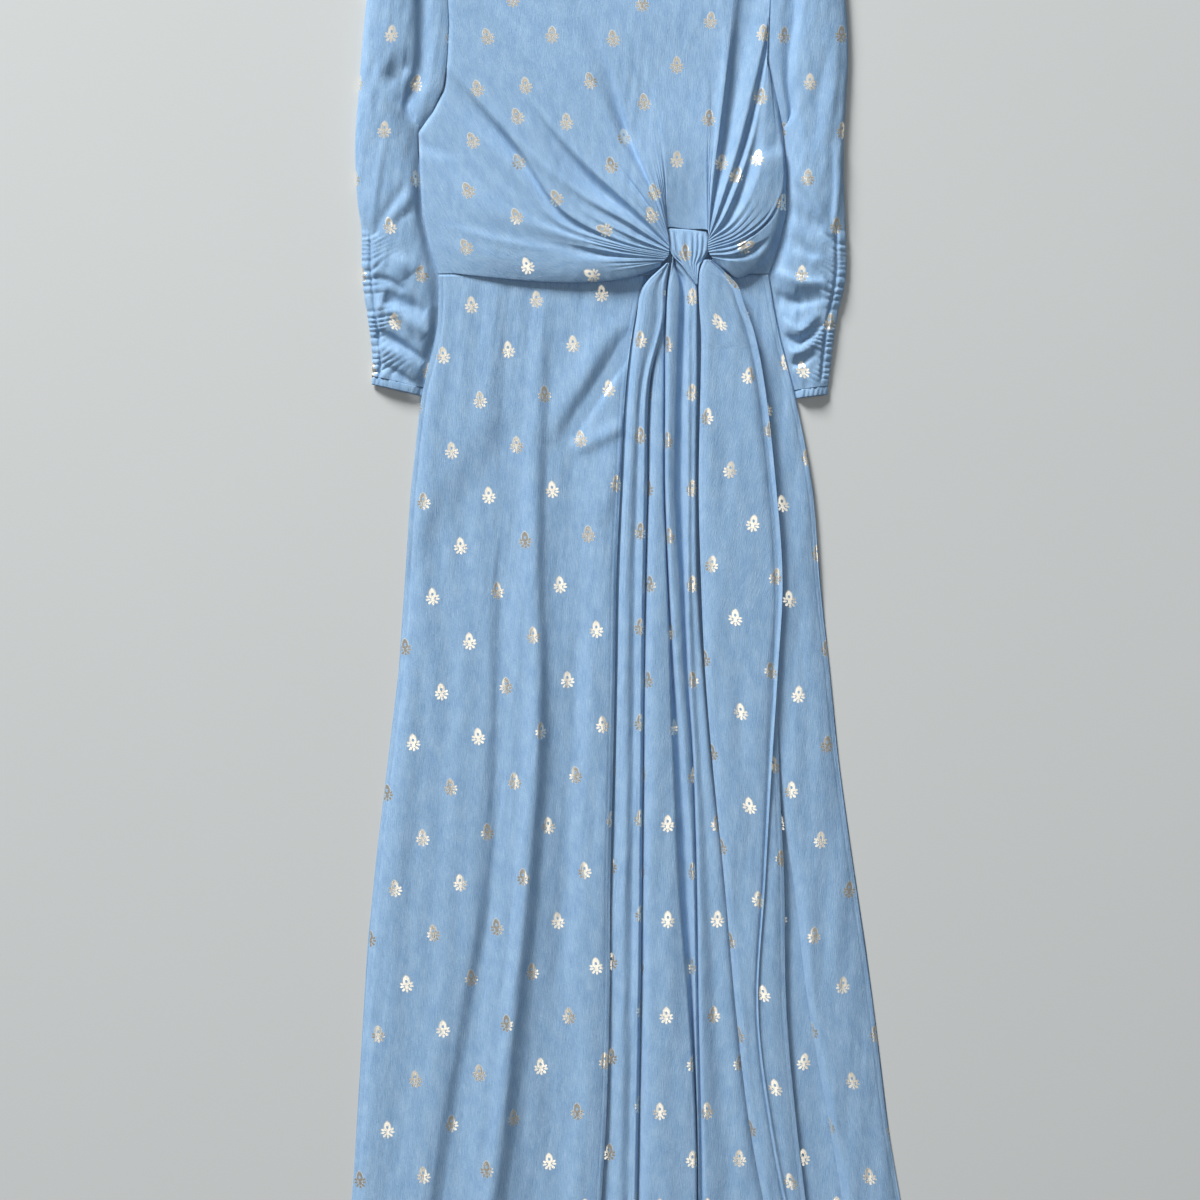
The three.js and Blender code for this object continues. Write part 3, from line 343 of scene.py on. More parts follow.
CHART_REACH = 60      # how widely a row of the chart leads the cloth round it
CHART_EASE = 12       # how loosely: at nought the cut would pass through every row


def charted_cut(points, chart):
    """Where each point lies on the flat cloth, led softly through the rows of a chart."""
    rows = np.array(chart, float)
    place, flat = rows[:, :2], rows[:, 3:] * (PITCH, REPEAT)

    def reach(spots):
        return np.sqrt(((spots[..., None, :2] - place) ** 2).sum(-1) + CHART_REACH ** 2)

    count = len(rows)
    system = np.ones((count + 1, count + 1))
    system[:count, :count] = reach(place) - CHART_EASE * np.eye(count)
    system[count, count] = 0
    moves = np.linalg.solve(system, np.vstack([flat - place, [0, 0]]))
    return points[..., :2] + reach(points) @ moves[:count] + moves[count]


def repeat_places(flat):
    """The motifs of the half-drop repeat that fall on a flat piece: x, y and turn."""
    low, high = flat.reshape(-1, 2).min(0), flat.reshape(-1, 2).max(0)
    columns = np.arange(math.floor(low[0] / PITCH), math.ceil(high[0] / PITCH) + 1)
    rows = np.arange(math.floor(low[1] / REPEAT), math.ceil(high[1] / REPEAT) + 2)
    return [(c * PITCH, (r - 0.5 * (c % 2)) * REPEAT, 0) for c in columns for r in rows]


def from_motif(field, places):
    """For each corner of each face, where it lies from the motif that the face is nearest to."""
    places = np.array(places, float)
    faces = field.reshape(-1, 4, 2)
    gaps = np.linalg.norm(faces.mean(1)[:, None] - places[None, :, :2], axis=-1)
    own = places[gaps.argmin(1)][:, None]
    away = faces - own[..., :2]
    turn = np.radians(own[..., 2])
    across = away[..., 0] * np.cos(turn) + away[..., 1] * np.sin(turn)
    upward = away[..., 1] * np.cos(turn) - away[..., 0] * np.sin(turn)
    return np.stack([across, upward], -1).reshape(-1, 2)


def cloth(name, points, flat, field, places, closed=False):
    """A sheet of cloth from a grid of points, across from the left and along from the hem. The
    places of its motifs are measured on the field, which is the flat cloth or the draped one."""
    across, down = points.shape[:2]
    in_rows = (1, 0, 2)
    bm = bmesh.new()
    bmesh.ops.create_grid(bm, x_segments=across - 1, y_segments=down - 1, size=0.5)
    mesh = bpy.data.meshes.new(name)
    bm.to_mesh(mesh)
    mesh.vertices.foreach_set("co", (points.transpose(in_rows) / 1000).ravel())
    corner = np.zeros(len(mesh.loops), int)
    mesh.loops.foreach_get("vertex_index", corner)
    cut = flat.transpose(in_rows).reshape(-1, 2)[corner]
    field = field.transpose(in_rows).reshape(-1, 2)[corner]
    mesh.uv_layers.new(name="cut").data.foreach_set("uv", (cut / 1000).ravel())
    mesh.uv_layers.new(name="motif").data.foreach_set("uv", (from_motif(field, places) / 1000).ravel())
    if closed:
        # The two long edges of a tube meet in one line of points.
        bm.clear()
        bm.from_mesh(mesh)
        bmesh.ops.remove_doubles(bm, verts=[v for v in bm.verts if v.is_boundary], dist=2e-5)
        bm.to_mesh(mesh)
    bm.free()
    mesh.shade_smooth()
    piece = bpy.data.objects.new(name + "_cloth", mesh)
    bpy.context.scene.collection.objects.link(piece)
    thick = piece.modifiers.new("thickness", "SOLIDIFY")
    thick.thickness = CLOTH / 1000
    thick.offset = 0
    thick.material_offset = 1
    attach(piece, "root")
    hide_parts(name)
    return piece


# ---- back panels ---------------------------------------------------------------------------------
def back_top(t):
    """The back's top edge, from side to side: a shoulder, the neck, the other shoulder."""
    middle = np.abs(t - 0.5)
    neck_half = 0.5 - NECK_START
    shoulder = HALF_LENGTH + (SHOULDER_Y - HALF_LENGTH) * (middle - neck_half) / NECK_START
    neck = HALF_LENGTH - BACK_NECK_DROP * np.sqrt(np.clip(1 - (middle / neck_half) ** 2, 0, 1))
    return np.where(middle >= neck_half, shoulder, neck)


def bodice_back():
    t, v = np.meshgrid(np.linspace(0, 1, 71), np.linspace(0, 1, 81), indexing="ij")
    edge_y = WAIST_Y + (SHOULDER_Y - WAIST_Y) * v
    left, right = along(BODY_EDGE, edge_y, 1), along(BODY_EDGE, edge_y, 2)
    x = left + (right - left) * t
    y = (WAIST_Y + SEAM_CLEAR) * (1 - v) + back_top(t) * v
    return np.stack([x, y, back_height(x, y)], -1)


def skirt_back():
    t, v = np.meshgrid(np.linspace(0, 1, 81), np.linspace(1, 0, 121), indexing="ij")
    edge_y = WAIST_Y + (HEM_SIDE_Y - WAIST_Y) * v
    left, right = along(SKIRT_EDGE, edge_y, 1), along(SKIRT_EDGE, edge_y, 2)
    x = left + (right - left) * t
    y = (WAIST_Y - SEAM_CLEAR) * (1 - v) + hem_y(x) * v
    return np.stack([x, y, back_height(x, y)], -1)


# ---- hanging panels ------------------------------------------------------------------------------
SIDE_HEM = 5          # width of the narrow stitched hem on a panel's side edges
BOTTOM_HEM = 14
HEM_GROOVE = 0.35     # how deep its stitching pulls the cloth in
EDGE_CALM = 0.05      # share of a panel's width at each edge over which its puckers start
TOP_CALM = 30         # and the length under its top seam
PUCKER = 0.13         # height of the small puckers, some 12 mm wide and 90 mm long
SWAY = 0.5            # height of the soft waves, some 34 mm wide and 330 mm long


def panel(stations, lines, across, down, seed, folds=()):
    """A panel from the lines that run down it: x at each station, then the height over the layer
    below at the top, the middle and the hem."""
    rows = np.array(lines, float)
    count = len(stations)
    x = rows[:, :count].T
    y = np.repeat(np.array(stations, float)[:, None], len(rows), axis=1)
    y[-1] = hem_y(x[-1]) + FRONT_INSET
    top, middle, hem = rows[:, count:].T
    v = np.linspace(0, 2, count)[:, None]
    z = np.where(v < 1, top + (middle - top) * v, middle + (hem - middle) * (v - 1))
    strips = curve(np.stack([x, y, z], -1), np.linspace(1, 0, down + 1))
    sheet = curve(strips.transpose(1, 0, 2), np.linspace(0, 1, across + 1))
    x, y = sheet[..., 0], sheet[..., 1]
    edge = np.minimum(np.arange(across + 1), across - np.arange(across + 1))[:, None] / across
    calm = smooth(edge / EDGE_CALM) * smooth((y.max() - y) / TOP_CALM)
    height = np.maximum(0, sheet[..., 2] * FULLNESS)
    sway = SWAY * crinkle(x, y, seed + 50, 34, 330, 18)
    height = height + calm * (PUCKER * crinkle(x, y, seed, 12, 90) + sway + creases(x, y, folds))
    from_edge = np.minimum(x - x[:1], x[-1:] - x)
    from_hem = y - y[:, :1]
    height = height - HEM_GROOVE * np.exp(-((from_edge - SIDE_HEM) / 1.2) ** 2)
    height = height - HEM_GROOVE * np.exp(-((from_hem - BOTTOM_HEM) / 3) ** 2)
    sheet[..., 2] = back_height(x, y) + LAYER + np.maximum(0, height)
    return sheet


# ---- draped bodice front -------------------------------------------------------------------------
MIDDLE_LINE = 20      # lines before this one run to the left twist point
SPAN_COLUMNS = 10     # columns of the grid from one line to the next
LINE_ROWS = 108
TOWARDS_WAIST = 1.25  # above 1, the rows lie closer together near the twist points
GATHER_DIP = 0.8      # the cloth dips to this share of its height where it is gathered
FAR_DIP = 0.7         # and, far out, to this share of the drape's
TROUGH_FADE = 0.45    # share of a line over which a fold dies away
TROUGH_LIMIT = 0.45   # deepest a fold may be, for one as wide as the gap between its lines
STEEPNESS = 1.9       # above 1, a fold is steeper on the side away from the middle
SEAM_REACH = 12       # cloth that ends this near a seam is drawn onto it
SEAM_EASE = 0.3       # over the last share of its line
SEAM_CALM = 8         # puckers start this far from a seam
SEAM_DIP = 1.2        # the cloth dips this much along the armhole
BODICE_CHART = [
    # a motif's x, y and turn on the draped bodice, then its column and row on the flat cloth
    [53, 565, 0, 0, 0], [53, 460, 0, 0, -1], [90, 614, -6, 1, 0.5], [88, 506, -4, 1, -0.5],
    [15, 633, 0, -1, 0.5], [17, 524, 6, -1, -0.5], [28, 424, 16, -1, -1.5],
    [-17, 594, 10, -2, 0], [-5, 486, 6, -2, -1], [25, 399, 22, -2, -2],
    [-42, 547, 16, -3, -0.5], [-19, 454, 14, -3, -1.5],
    [-84, 598, 0, -4, 0], [-68, 502, 5, -4, -1], [-26, 383, 70, -4, -2],
    [-127, 638, 0, -5, 0.5], [-113, 542, 8, -5, -0.5], [-79, 418, 28, -5, -1.5],
    [-155, 596, 20, -6, 0], [-122, 508, 24, -6, -1],
    [-166, 539, 12, -7, -0.5], [-121, 459, 24, -7, -1.5],
    [-171, 482, 26, -8, -1], [-123, 398, 20, -8, -2],
    [-176, 427, 28, -9, -1.5], [-111, 344, 22, -9, -2.5], [-178, 365, 30, -10, -2],
    [-40, 334, 62, -10, -4], [102, 458, -6, 2, -1], [118, 443, -16, 3, -1.5],
    [141, 462, -12, 4, -1], [145, 530, -6, 3, -0.5], [148, 600, 0, 3, 0.5],
    [169, 414, -12, 5, -1.5], [128, 365, -68, 4, -2],
]
BODICE_FOLDS = [
    # x, y at the start, middle and end, half width, height
    [-150, 520, -110, 470, -60, 425, 5, 1.5],
    [-120, 540, -70, 480, -20, 430, 4, 1.2],
    [-180, 470, -140, 430, -90, 395, 6, 1.0],
    [-200, 390, -140, 372, -60, 358, 5, 1.2],
]


def bodice_front():
    table = np.array(FRONT, float)
    places = table[:, :10].reshape(-1, 5, 2)
    waist, drape, edge = table[:, 10:13].T
    heights = np.stack([waist * GATHER_DIP, waist, drape, drape * FAR_DIP, edge], -1)
    stops = np.concatenate([places, heights[..., None]], -1).transpose(1, 0, 2)
    v = np.linspace(0, 1, LINE_ROWS + 1) ** TOWARDS_WAIST
    strips = curve(stops, v).transpose(1, 0, 2)
    columns = (len(table) - 1) * SPAN_COLUMNS
    sheet = curve(strips, np.linspace(0, 1, columns + 1))
    i = np.arange(columns + 1)
    k = np.minimum(i // SPAN_COLUMNS, len(table) - 2)
    f = ((i - k * SPAN_COLUMNS) / SPAN_COLUMNS)[:, None]
    fold, reach = table[k, 13][:, None], table[k, 14][:, None]
    pitch = np.linalg.norm(strips[k] - strips[k + 1], axis=-1)
    depth = np.minimum(fold * FULLNESS * smooth((reach - v) / TROUGH_FADE), TROUGH_LIMIT * pitch)
    steep = np.where(k[:, None] < MIDDLE_LINE, f ** STEEPNESS, 1 - (1 - f) ** STEEPNESS)
    trough = depth * np.sin(math.pi * steep) ** 0.9
    # Two small gathers ride on each fold near the twist points.
    fine = 0.1 * np.minimum(pitch, 12) * smooth((0.4 - v) / 0.35) * smooth(v / 0.03)
    trough = trough + fine * np.sin(2 * math.pi * f * 2 + k[:, None] * 1.7) * (fold > 0)
    x, y = sheet[..., 0], sheet[..., 1]
    left = along(BODY_EDGE, y, 1) + SEAM_CLEAR
    right = along(BODY_EDGE, y, 2) - SEAM_CLEAR
    seam = np.where(x < 0, left, right)[:, -1:] - x[:, -1:]
    drawn = smooth((SEAM_REACH - np.abs(seam)) / (SEAM_REACH / 2))
    x = x + seam * drawn * smooth((v - (1 - SEAM_EASE)) / SEAM_EASE)
    x = np.minimum(right, np.maximum(left, x))
    side = np.minimum(x - left, right - x)
    calm = smooth(side / SEAM_CALM) * smooth(v / 0.2)
    height = np.maximum(0, sheet[..., 2] * FULLNESS - trough)
    height = height + calm * (0.15 * crinkle(x, y, 3, 14, 80) + creases(x, y, BODICE_FOLDS))
    height = height - SEAM_DIP * np.exp(-(side / 2.5) ** 2) * (y > UNDERARM_Y)
    return np.stack([x, y, back_height(x, y) + LAYER + np.maximum(0, height)], -1)


# ---- waist tab -----------------------------------------------------------------------------------
TAB_TOP = 384.2
TAB_SLOPE = 3         # how much lower the right end of the tab's top seam is than its left end
TAB_COLUMNS = 64
TAB_ROWS = 48
TAB_PLEATS = 6
PLEAT_HEIGHT = 0.9
PLEAT_SHARE = 0.02    # and at most this share of the tab's width
TAB_TUCK = 3.0        # from TUCK_TOP up, the tab's sides go on under the bodice by this much
TUCK_TOP = 345
SIDE_DIP = 3.2        # its sides dip this much there, over SIDE_WIDTH
SIDE_WIDTH = 4.5


def waist_tab():
    y = np.linspace(TAB[-1][0], TAB_TOP, TAB_ROWS + 1)
    t = np.linspace(0, 1, TAB_COLUMNS + 1)[:, None]
    left, right = along(TAB, y, 1), along(TAB, y, 2)
    tuck = TAB_TUCK * smooth((y - TUCK_TOP) / 12)
    left, right = left - tuck, right + tuck
    width = right - left
    x = left + width * t
    from_side = np.minimum(x - left, right - x)
    ridge = np.minimum(PLEAT_HEIGHT, width * PLEAT_SHARE) * smooth((TAB_TOP - 1.2 - y) / 8)
    pleats = np.cos(2 * math.pi * (TAB_PLEATS * t + 0.3 * np.sin(9 * t)))
    z = along(TAB, y, 3) * FULLNESS + ridge * pleats
    z = z - SIDE_DIP * smooth((y - TUCK_TOP + 1) / 8) * smooth((SIDE_WIDTH - from_side) / SIDE_WIDTH)
    z = z - 0.6 * np.exp(-((y - TAB_TOP) / 1.2) ** 2)
    sloped = y - TAB_SLOPE * (t - 0.5) * (y - y[0]) / (y[-1] - y[0])
    return np.stack([x, sloped, LIE + LAYER + z], -1)


# ---- sleeves -------------------------------------------------------------------------------------
RUCHE_START = 214
RUCHE_END = 392
RUCHE_PLACE = 0.92    # the ruched seam's share of the sleeve's width
GATHER = 8.1          # average spacing of the gathers along it
GATHER_HEIGHT = 4.4
SEAM_DEPTH = 2.4      # how deep its thread pulls it in
TUCKED_HEIGHT = 2.1   # of the seam where the sleeve lies under the bodice
UNTUCK = 8            # the sleeve comes out from under the bodice over this length
DIP_STOP = 2          # the stop at the foot of the dip beside the bodice
DIP_CLEAR = 1.0       # under the bodice's side the foot keeps this far from it
DIP_EASE = 24
FOLD_STOP = 7         # the stop on the sleeve's outer fold
AROUND = 112          # faces round a sleeve and a cuff
FINE_ROWS = 132       # rows along the ruches, then rows from there to the shoulder
COARSE_ROWS = 60


def sleeve_stops(row):
    """The stops round one section of a sleeve: over the front from the seam on the body to the outer
    fold, and back under it."""
    inner_x, inner_y, outer_x, outer_y, dip, seam, low, crest = row
    beside = 1 - dip
    crest = crest * FULLNESS
    seam = TUCKED_HEIGHT + (seam - TUCKED_HEIGHT) * FULLNESS
    if inner_y < UNDERARM_Y:
        seam_front = seam_back = 1.2
    else:
        seam_front, seam_back = seam - 1.3, LIE
    stops = [
        (0, seam_front), (dip * 0.5, max(seam, low) + (0.3 if seam > 4 else 0)),
        (dip, low), (dip + beside * 0.14, low * 0.25 + crest * 0.75),
        (dip + beside * 0.4, crest), (dip + beside * 0.7, crest * 0.96), (0.95, crest * 0.7),
        (1, crest * 0.35 + LIE), (0.95, LIE), (0.6, LIE), (0.25, LIE), (0, seam_back),
    ]
    return [(inner_x + (outer_x - inner_x) * t, inner_y + (outer_y - inner_y) * t, z) for t, z in stops]


def sleeve(table, folds, seed):
    stops = np.array([sleeve_stops(row) for row in table], float)
    body = 2 if table[0][2] > 0 else 1
    out = 1 if body == 2 else -1
    end = next(k for k, row in enumerate(table) if row[3] >= RUCHE_END - 10) / (len(table) - 1)
    shares = np.concatenate([np.linspace(0, end, FINE_ROWS + 1), np.linspace(end, 1, COARSE_ROWS + 1)[1:]])
    lines = curve(stops, shares)
    y = lines[..., 1]
    side = body_side(y, body)
    for stop in (0, -1):
        tucked = smooth((UNDERARM_Y + UNTUCK - y[:, stop]) / UNTUCK)
        on_seam = side[:, stop] + out * SEAM_CLEAR
        lines[:, stop, 0] = on_seam + (lines[:, stop, 0] - on_seam) * tucked
    beside = side[:, DIP_STOP] + out * DIP_CLEAR
    free = smooth((y[:, DIP_STOP] - UNDERARM_Y) / DIP_EASE)
    lines[:, DIP_STOP, 0] = beside + (lines[:, DIP_STOP, 0] - beside) * free
    shares_round = np.linspace(0, 1, AROUND + 1)
    tube = curve(lines.transpose(1, 0, 2), shares_round)
    x, y, z = tube[..., 0], tube[..., 1], tube[..., 2]
    inner, outer = lines[:, 0, 0], lines[:, FOLD_STOP, 0]
    share = (x - inner) / (outer - inner)
    stop_share = FOLD_STOP / (len(stops[0]) - 1)
    front = smooth((stop_share + 0.04 - shares_round) / 0.05)[:, None]
    seam_gap = (RUCHE_PLACE - share) * np.abs(outer - inner)
    inside = smooth((y - RUCHE_START) / 12) * smooth((RUCHE_END - y) / 22)
    # The gathers lean and wander, and each swells beside the seam and dies away from it.
    lean = np.where(seam_gap > 0, 0.4 + 0.35 * np.sin(y / 19 + seed), 0.0)
    beat = (y - lean * seam_gap - RUCHE_START) / GATHER
    beat = beat + 0.7 * np.sin(y / 15 + seed) + 0.4 * np.sin(y / 6.7 + 2 * seed)
    puff = np.sqrt(np.abs(np.sin(math.pi * beat)))
    wide = np.where(seam_gap > 0, 14 + 9 * np.sin(y / 10 + 3 * seed), 9)
    swell = np.exp(-(seam_gap / wide) ** 2) * (1 - 0.8 * np.exp(-(seam_gap / 2.2) ** 2))
    strength = 0.7 + 0.3 * np.sin(y / 9 + 2 * seed)
    pulled = SEAM_DEPTH * np.exp(-(seam_gap / 1.8) ** 2)
    z = z + front * inside * (GATHER_HEIGHT * strength * swell * (puff - 0.5) - pulled)
    x = x + out * inside * 1.5 * (puff - 0.6) * smooth((share - 0.93) / 0.05)
    clear = smooth(out * (x - body_side(y, body)) / 10)
    calm = front * clear * smooth((1 - share) / 0.05)
    z = z + calm * (0.3 * crinkle(x, y, seed, 15, 60) + creases(x, y, folds))
    seam = np.exp(-((x - body_side(y, body)) / 2.5) ** 2) * (y > UNDERARM_Y + UNTUCK)
    z = z - seam * front
    tube = np.stack([x, y, np.maximum(LIE, z)], -1)
    return tube if out > 0 else tube[::-1]


LEFT_SLEEVE_FOLDS = [
    # the same columns as the bodice's folds
    [-280, 377, -260, 409, -245, 431, 4, -2.6], [-272, 378, -250, 403, -238, 424, 5, 2.4],
    [-279, 374, -252, 396, -231, 408, 4, -2.2], [-289, 391, -286, 384, -283, 376, 3, -2.0],
    [-281, 384, -276, 430, -268, 480, 5, 1.6], [-283, 332, -264, 329, -246, 317, 5, -3.2],
    [-262, 350, -246, 345, -238, 335, 12, 3], [-268, 312, -257, 308, -222, 292, 11, -6],
    [-278, 297, -256, 296, -222, 268, 7, 5.4], [-276, 274, -256, 263, -224, 240, 6, -6],
    [-275, 256, -247, 246, -230, 222, 7, 4], [-274, 238, -254, 228, -232, 212, 5, -3.4],
    [-268, 561, -252, 545, -243, 520, 9, -6.5], [-262, 567, -246, 562, -233, 565, 10, -4.5],
    [-277, 560, -264, 530, -248, 508, 5, 2.4], [-288, 600, -284, 540, -280, 480, 6, 1.2],
]
RIGHT_SLEEVE_FOLDS = [
    # the same columns
    [218, 325, 186, 327, 160, 340, 7, 4.4], [214, 311, 182, 305, 155, 316, 9, -6],
    [209, 293, 189, 273, 167, 286, 6, 4.4], [214, 283, 190, 262, 166, 270, 5, -4.6],
    [207, 262, 188, 249, 165, 253, 5, 3.6], [206, 250, 186, 237, 168, 240, 5, -3.6],
    [213, 384, 190, 398, 165, 425, 9, -3.4], [205, 352, 180, 372, 158, 400, 10, -3],
    [222, 378, 231, 430, 231, 480, 5, 2.4], [216, 372, 194, 417, 182, 437, 5, -3.0],
    [222, 376, 206, 415, 192, 445, 6, 2.6], [219, 374, 224, 420, 224, 470, 4, -2.0],
    [214, 350, 196, 352, 180, 362, 6, 2.0], [217, 575, 207, 520, 205, 470, 8, -2.4],
    [228, 600, 226, 540, 218, 480, 6, 1.6],
]


# ---- cuffs ---------------------------------------------------------------------------------------
CUFF_ROWS = 9
CUFF_ROLL = 0.35      # how far the cuff rounds off at both its edges
CUFF_PUCKER = 0.35


def cuff(table):
    stops = np.array(sleeve_stops(table[0]), float)
    ring = curve(stops, np.linspace(0, 1, AROUND + 1))
    drops = np.linspace(CUFF_DEPTH + 0.1, 0.1, CUFF_ROWS)
    points = np.repeat(ring[:, None, :], len(drops), axis=1)
    points[..., 1] -= drops
    roll = np.exp(-(drops / 2) ** 2) + np.exp(-((drops - CUFF_DEPTH) / 2) ** 2)
    pucker = CUFF_PUCKER * crinkle(points[..., 0], points[..., 1], 21, 6, 30)
    points[..., 2] = np.maximum(LIE, points[..., 2] - CUFF_ROLL * roll + pucker * (points[..., 2] > 1))
    return points if table[0][2] > 0 else points[::-1]


# ---- materials -----------------------------------------------------------------------------------
def linear(code):
    """A colour from its sRGB hex value."""
    parts = [int(code[k:k + 2], 16) / 255 for k in (1, 3, 5)]
    return tuple(c / 12.92 if c <= 0.04045 else ((c + 0.055) / 1.055) ** 2.4 for c in parts) + (1,)


def add(tree, kind, links=(), **settings):
    """Adds a node: settings name its properties, or its inputs by number as i0, i1 and so on."""
    node = tree.nodes.new("ShaderNode" + kind)
    for key, value in settings.items():
        if key[0] == "i" and key[1:].isdigit():
            node.inputs[int(key[1:])].default_value = value
        else:
            setattr(node, key, value)
    for slot, source in links:
        tree.links.new(source, node.inputs[slot])
    return node


# The foil bud in millimetres from its middle: x, y, half width, half height and turn of each oval.
# Only the right half is listed, because the left one mirrors it.
DROP = [[-2.9, 3.9, 6.9, 6.9, 0], [0, 2.2, 4.1, 4.1, 0]]
EYE = [0, 3.0, 1.3, 1.7, 0]
LEAVES = [
    # the heart, two leaves on the side, then the cup of petals
    [0, -3.2, 2.3, 2.2, 0], [5.2, 0.5, 2.1, 1.25, 30], [5.2, -2.5, 2.4, 1.2, -8],
    [3.5, -5.8, 2.3, 1.4, -42], [0, -7.3, 1.3, 1.9, 0],
]


def voile(name, light, dark, foil):
    """Cotton voile: a thin plain weave of slubby yarns with a crinkle along the warp. To the eye it is
    matt and soft, with fine pale streaks down the cloth and a slight sheen on the folds."""
    mat = bpy.data.materials.new(name)
    mat.use_nodes = True
    tree = mat.node_tree
    shader = tree.nodes["Principled BSDF"]
    cut = add(tree, "UVMap", uv_map="cut").outputs[0]

    def stretched(across, down):
        # One noise cell is across by down millimetres on the flat cloth.
        place = add(tree, "Mapping", [(0, cut)], i3=(1000 / across, 1000 / down, 1))
        return add(tree, "TexNoise", [("Vector", place.outputs[0])], noise_dimensions="2D")

    def ramp(source, low, high, to_low=0.0, to_high=1.0):
        return add(tree, "MapRange", [(0, source)], i1=low, i2=high, i3=to_low, i4=to_high).outputs[0]

    def math_node(kind, first, second=None, **settings):
        links = [(0, first)] + ([(1, second)] if second is not None else [])
        return add(tree, "Math", links, operation=kind, **settings).outputs[0]

    # Warp streaks and slubs are 2 to 3 mm wide: the real yarns, 0.3 mm apart, would not show.
    warp = stretched(1.9, 70).outputs[0]
    slub = stretched(2.8, 14).outputs[0]
    weft = stretched(26, 2).outputs[0]
    cloud = stretched(70, 120).outputs[0]
    tone = math_node("ADD", ramp(warp, 0.3, 0.7, -0.6, 0.6), ramp(slub, 0.3, 0.7, -0.3, 0.3))
    tone = math_node("ADD", tone, ramp(weft, 0.3, 0.7, -0.24, 0.24))
    tone = math_node("ADD", tone, ramp(cloud, 0.3, 0.7, -0.3, 0.3))
    blend = ramp(tone, -1, 1)
    colour = add(tree, "Mix", [(0, blend)], data_type="RGBA", i6=linear(dark), i7=linear(light)).outputs[2]

    relief = math_node("ADD", ramp(warp, 0, 1, 0, 0.6), ramp(stretched(5, 45).outputs[0], 0, 1, 0, 0.8))
    relief = math_node("ADD", relief, ramp(weft, 0, 1, 0, 0.3))
    bump = add(tree, "Bump", [("Height", relief)], i0=0.5, i1=0.0011)
    tree.links.new(bump.outputs[0], shader.inputs["Normal"])
    shader.inputs["Roughness"].default_value = 0.85
    shader.inputs["Specular IOR Level"].default_value = 0.25
    shader.inputs["Sheen Weight"].default_value = 0.18
    shader.inputs["Sheen Roughness"].default_value = 0.5
    shader.inputs["Sheen Tint"].default_value = linear("#DCE8F6")
    if not foil:
        tree.links.new(colour, shader.inputs["Base Color"])
        return mat

    # One foil bud round the middle of the motif layer; its edge trembles with the yarns.
    tremble = stretched(1.6, 1.6).outputs["Color"]
    shake = add(tree, "VectorMath", [(0, tremble)], operation="SUBTRACT", i1=(0.5, 0.5, 0.5)).outputs[0]
    shake = add(tree, "VectorMath", [(0, shake)], operation="SCALE", i3=0.0006).outputs[0]
    motif = add(tree, "UVMap", uv_map="motif").outputs[0]
    spot = add(tree, "VectorMath", [(0, motif), (1, shake)], operation="ADD").outputs[0]
    apart = add(tree, "SeparateXYZ", [(0, spot)])
    across = math_node("ABSOLUTE", math_node("MULTIPLY", apart.outputs[0], i1=1000.0))
    upward = math_node("MULTIPLY", apart.outputs[1], i1=1000.0)
    here = add(tree, "CombineXYZ", [(0, across), (1, upward)]).outputs[0]

    def oval(x, y, wide, high, turn):
        place = add(tree, "Mapping", [(0, here)], vector_type="TEXTURE", i1=(x, y, 0),
                    i2=(0, 0, math.radians(turn)), i3=(wide, high, 1))
        size = add(tree, "VectorMath", [(0, place.outputs[0])], operation="LENGTH").outputs[1]
        return ramp(size, 0.9, 1.1, 1, 0)

    # A drop with a round foot and a pointed top, which leaves a clear eye.
    shape = math_node("MAXIMUM", oval(*DROP[0]), oval(*DROP[1]))
    shape = math_node("SUBTRACT", shape, oval(*EYE), use_clamp=True)
    for leaf in LEAVES:
        shape = math_node("MAXIMUM", shape, oval(*leaf))
    worn = ramp(stretched(1.5, 1.2).outputs[0], 0.2, 0.3)
    shape = math_node("MULTIPLY", shape, worn)
    base = add(tree, "Mix", [(0, shape), (6, colour)], data_type="RGBA", i7=linear("#FFF8E8")).outputs[2]
    tree.links.new(base, shader.inputs["Base Color"])
    tree.links.new(math_node("MULTIPLY", shape, i1=0.85), shader.inputs["Metallic"])
    tree.links.new(ramp(shape, 0, 1, 0.85, 0.3), shader.inputs["Roughness"])
    tree.links.new(ramp(shape, 0, 1, 0.5, 0.15), bump.inputs["Strength"])
    return mat


right_side = voile("voile_foil_printed", "#A7C7E4", "#7CA3CB", True)
wrong_side = voile("voile_wrong_side", "#96B9DA", "#6E97C2", False)


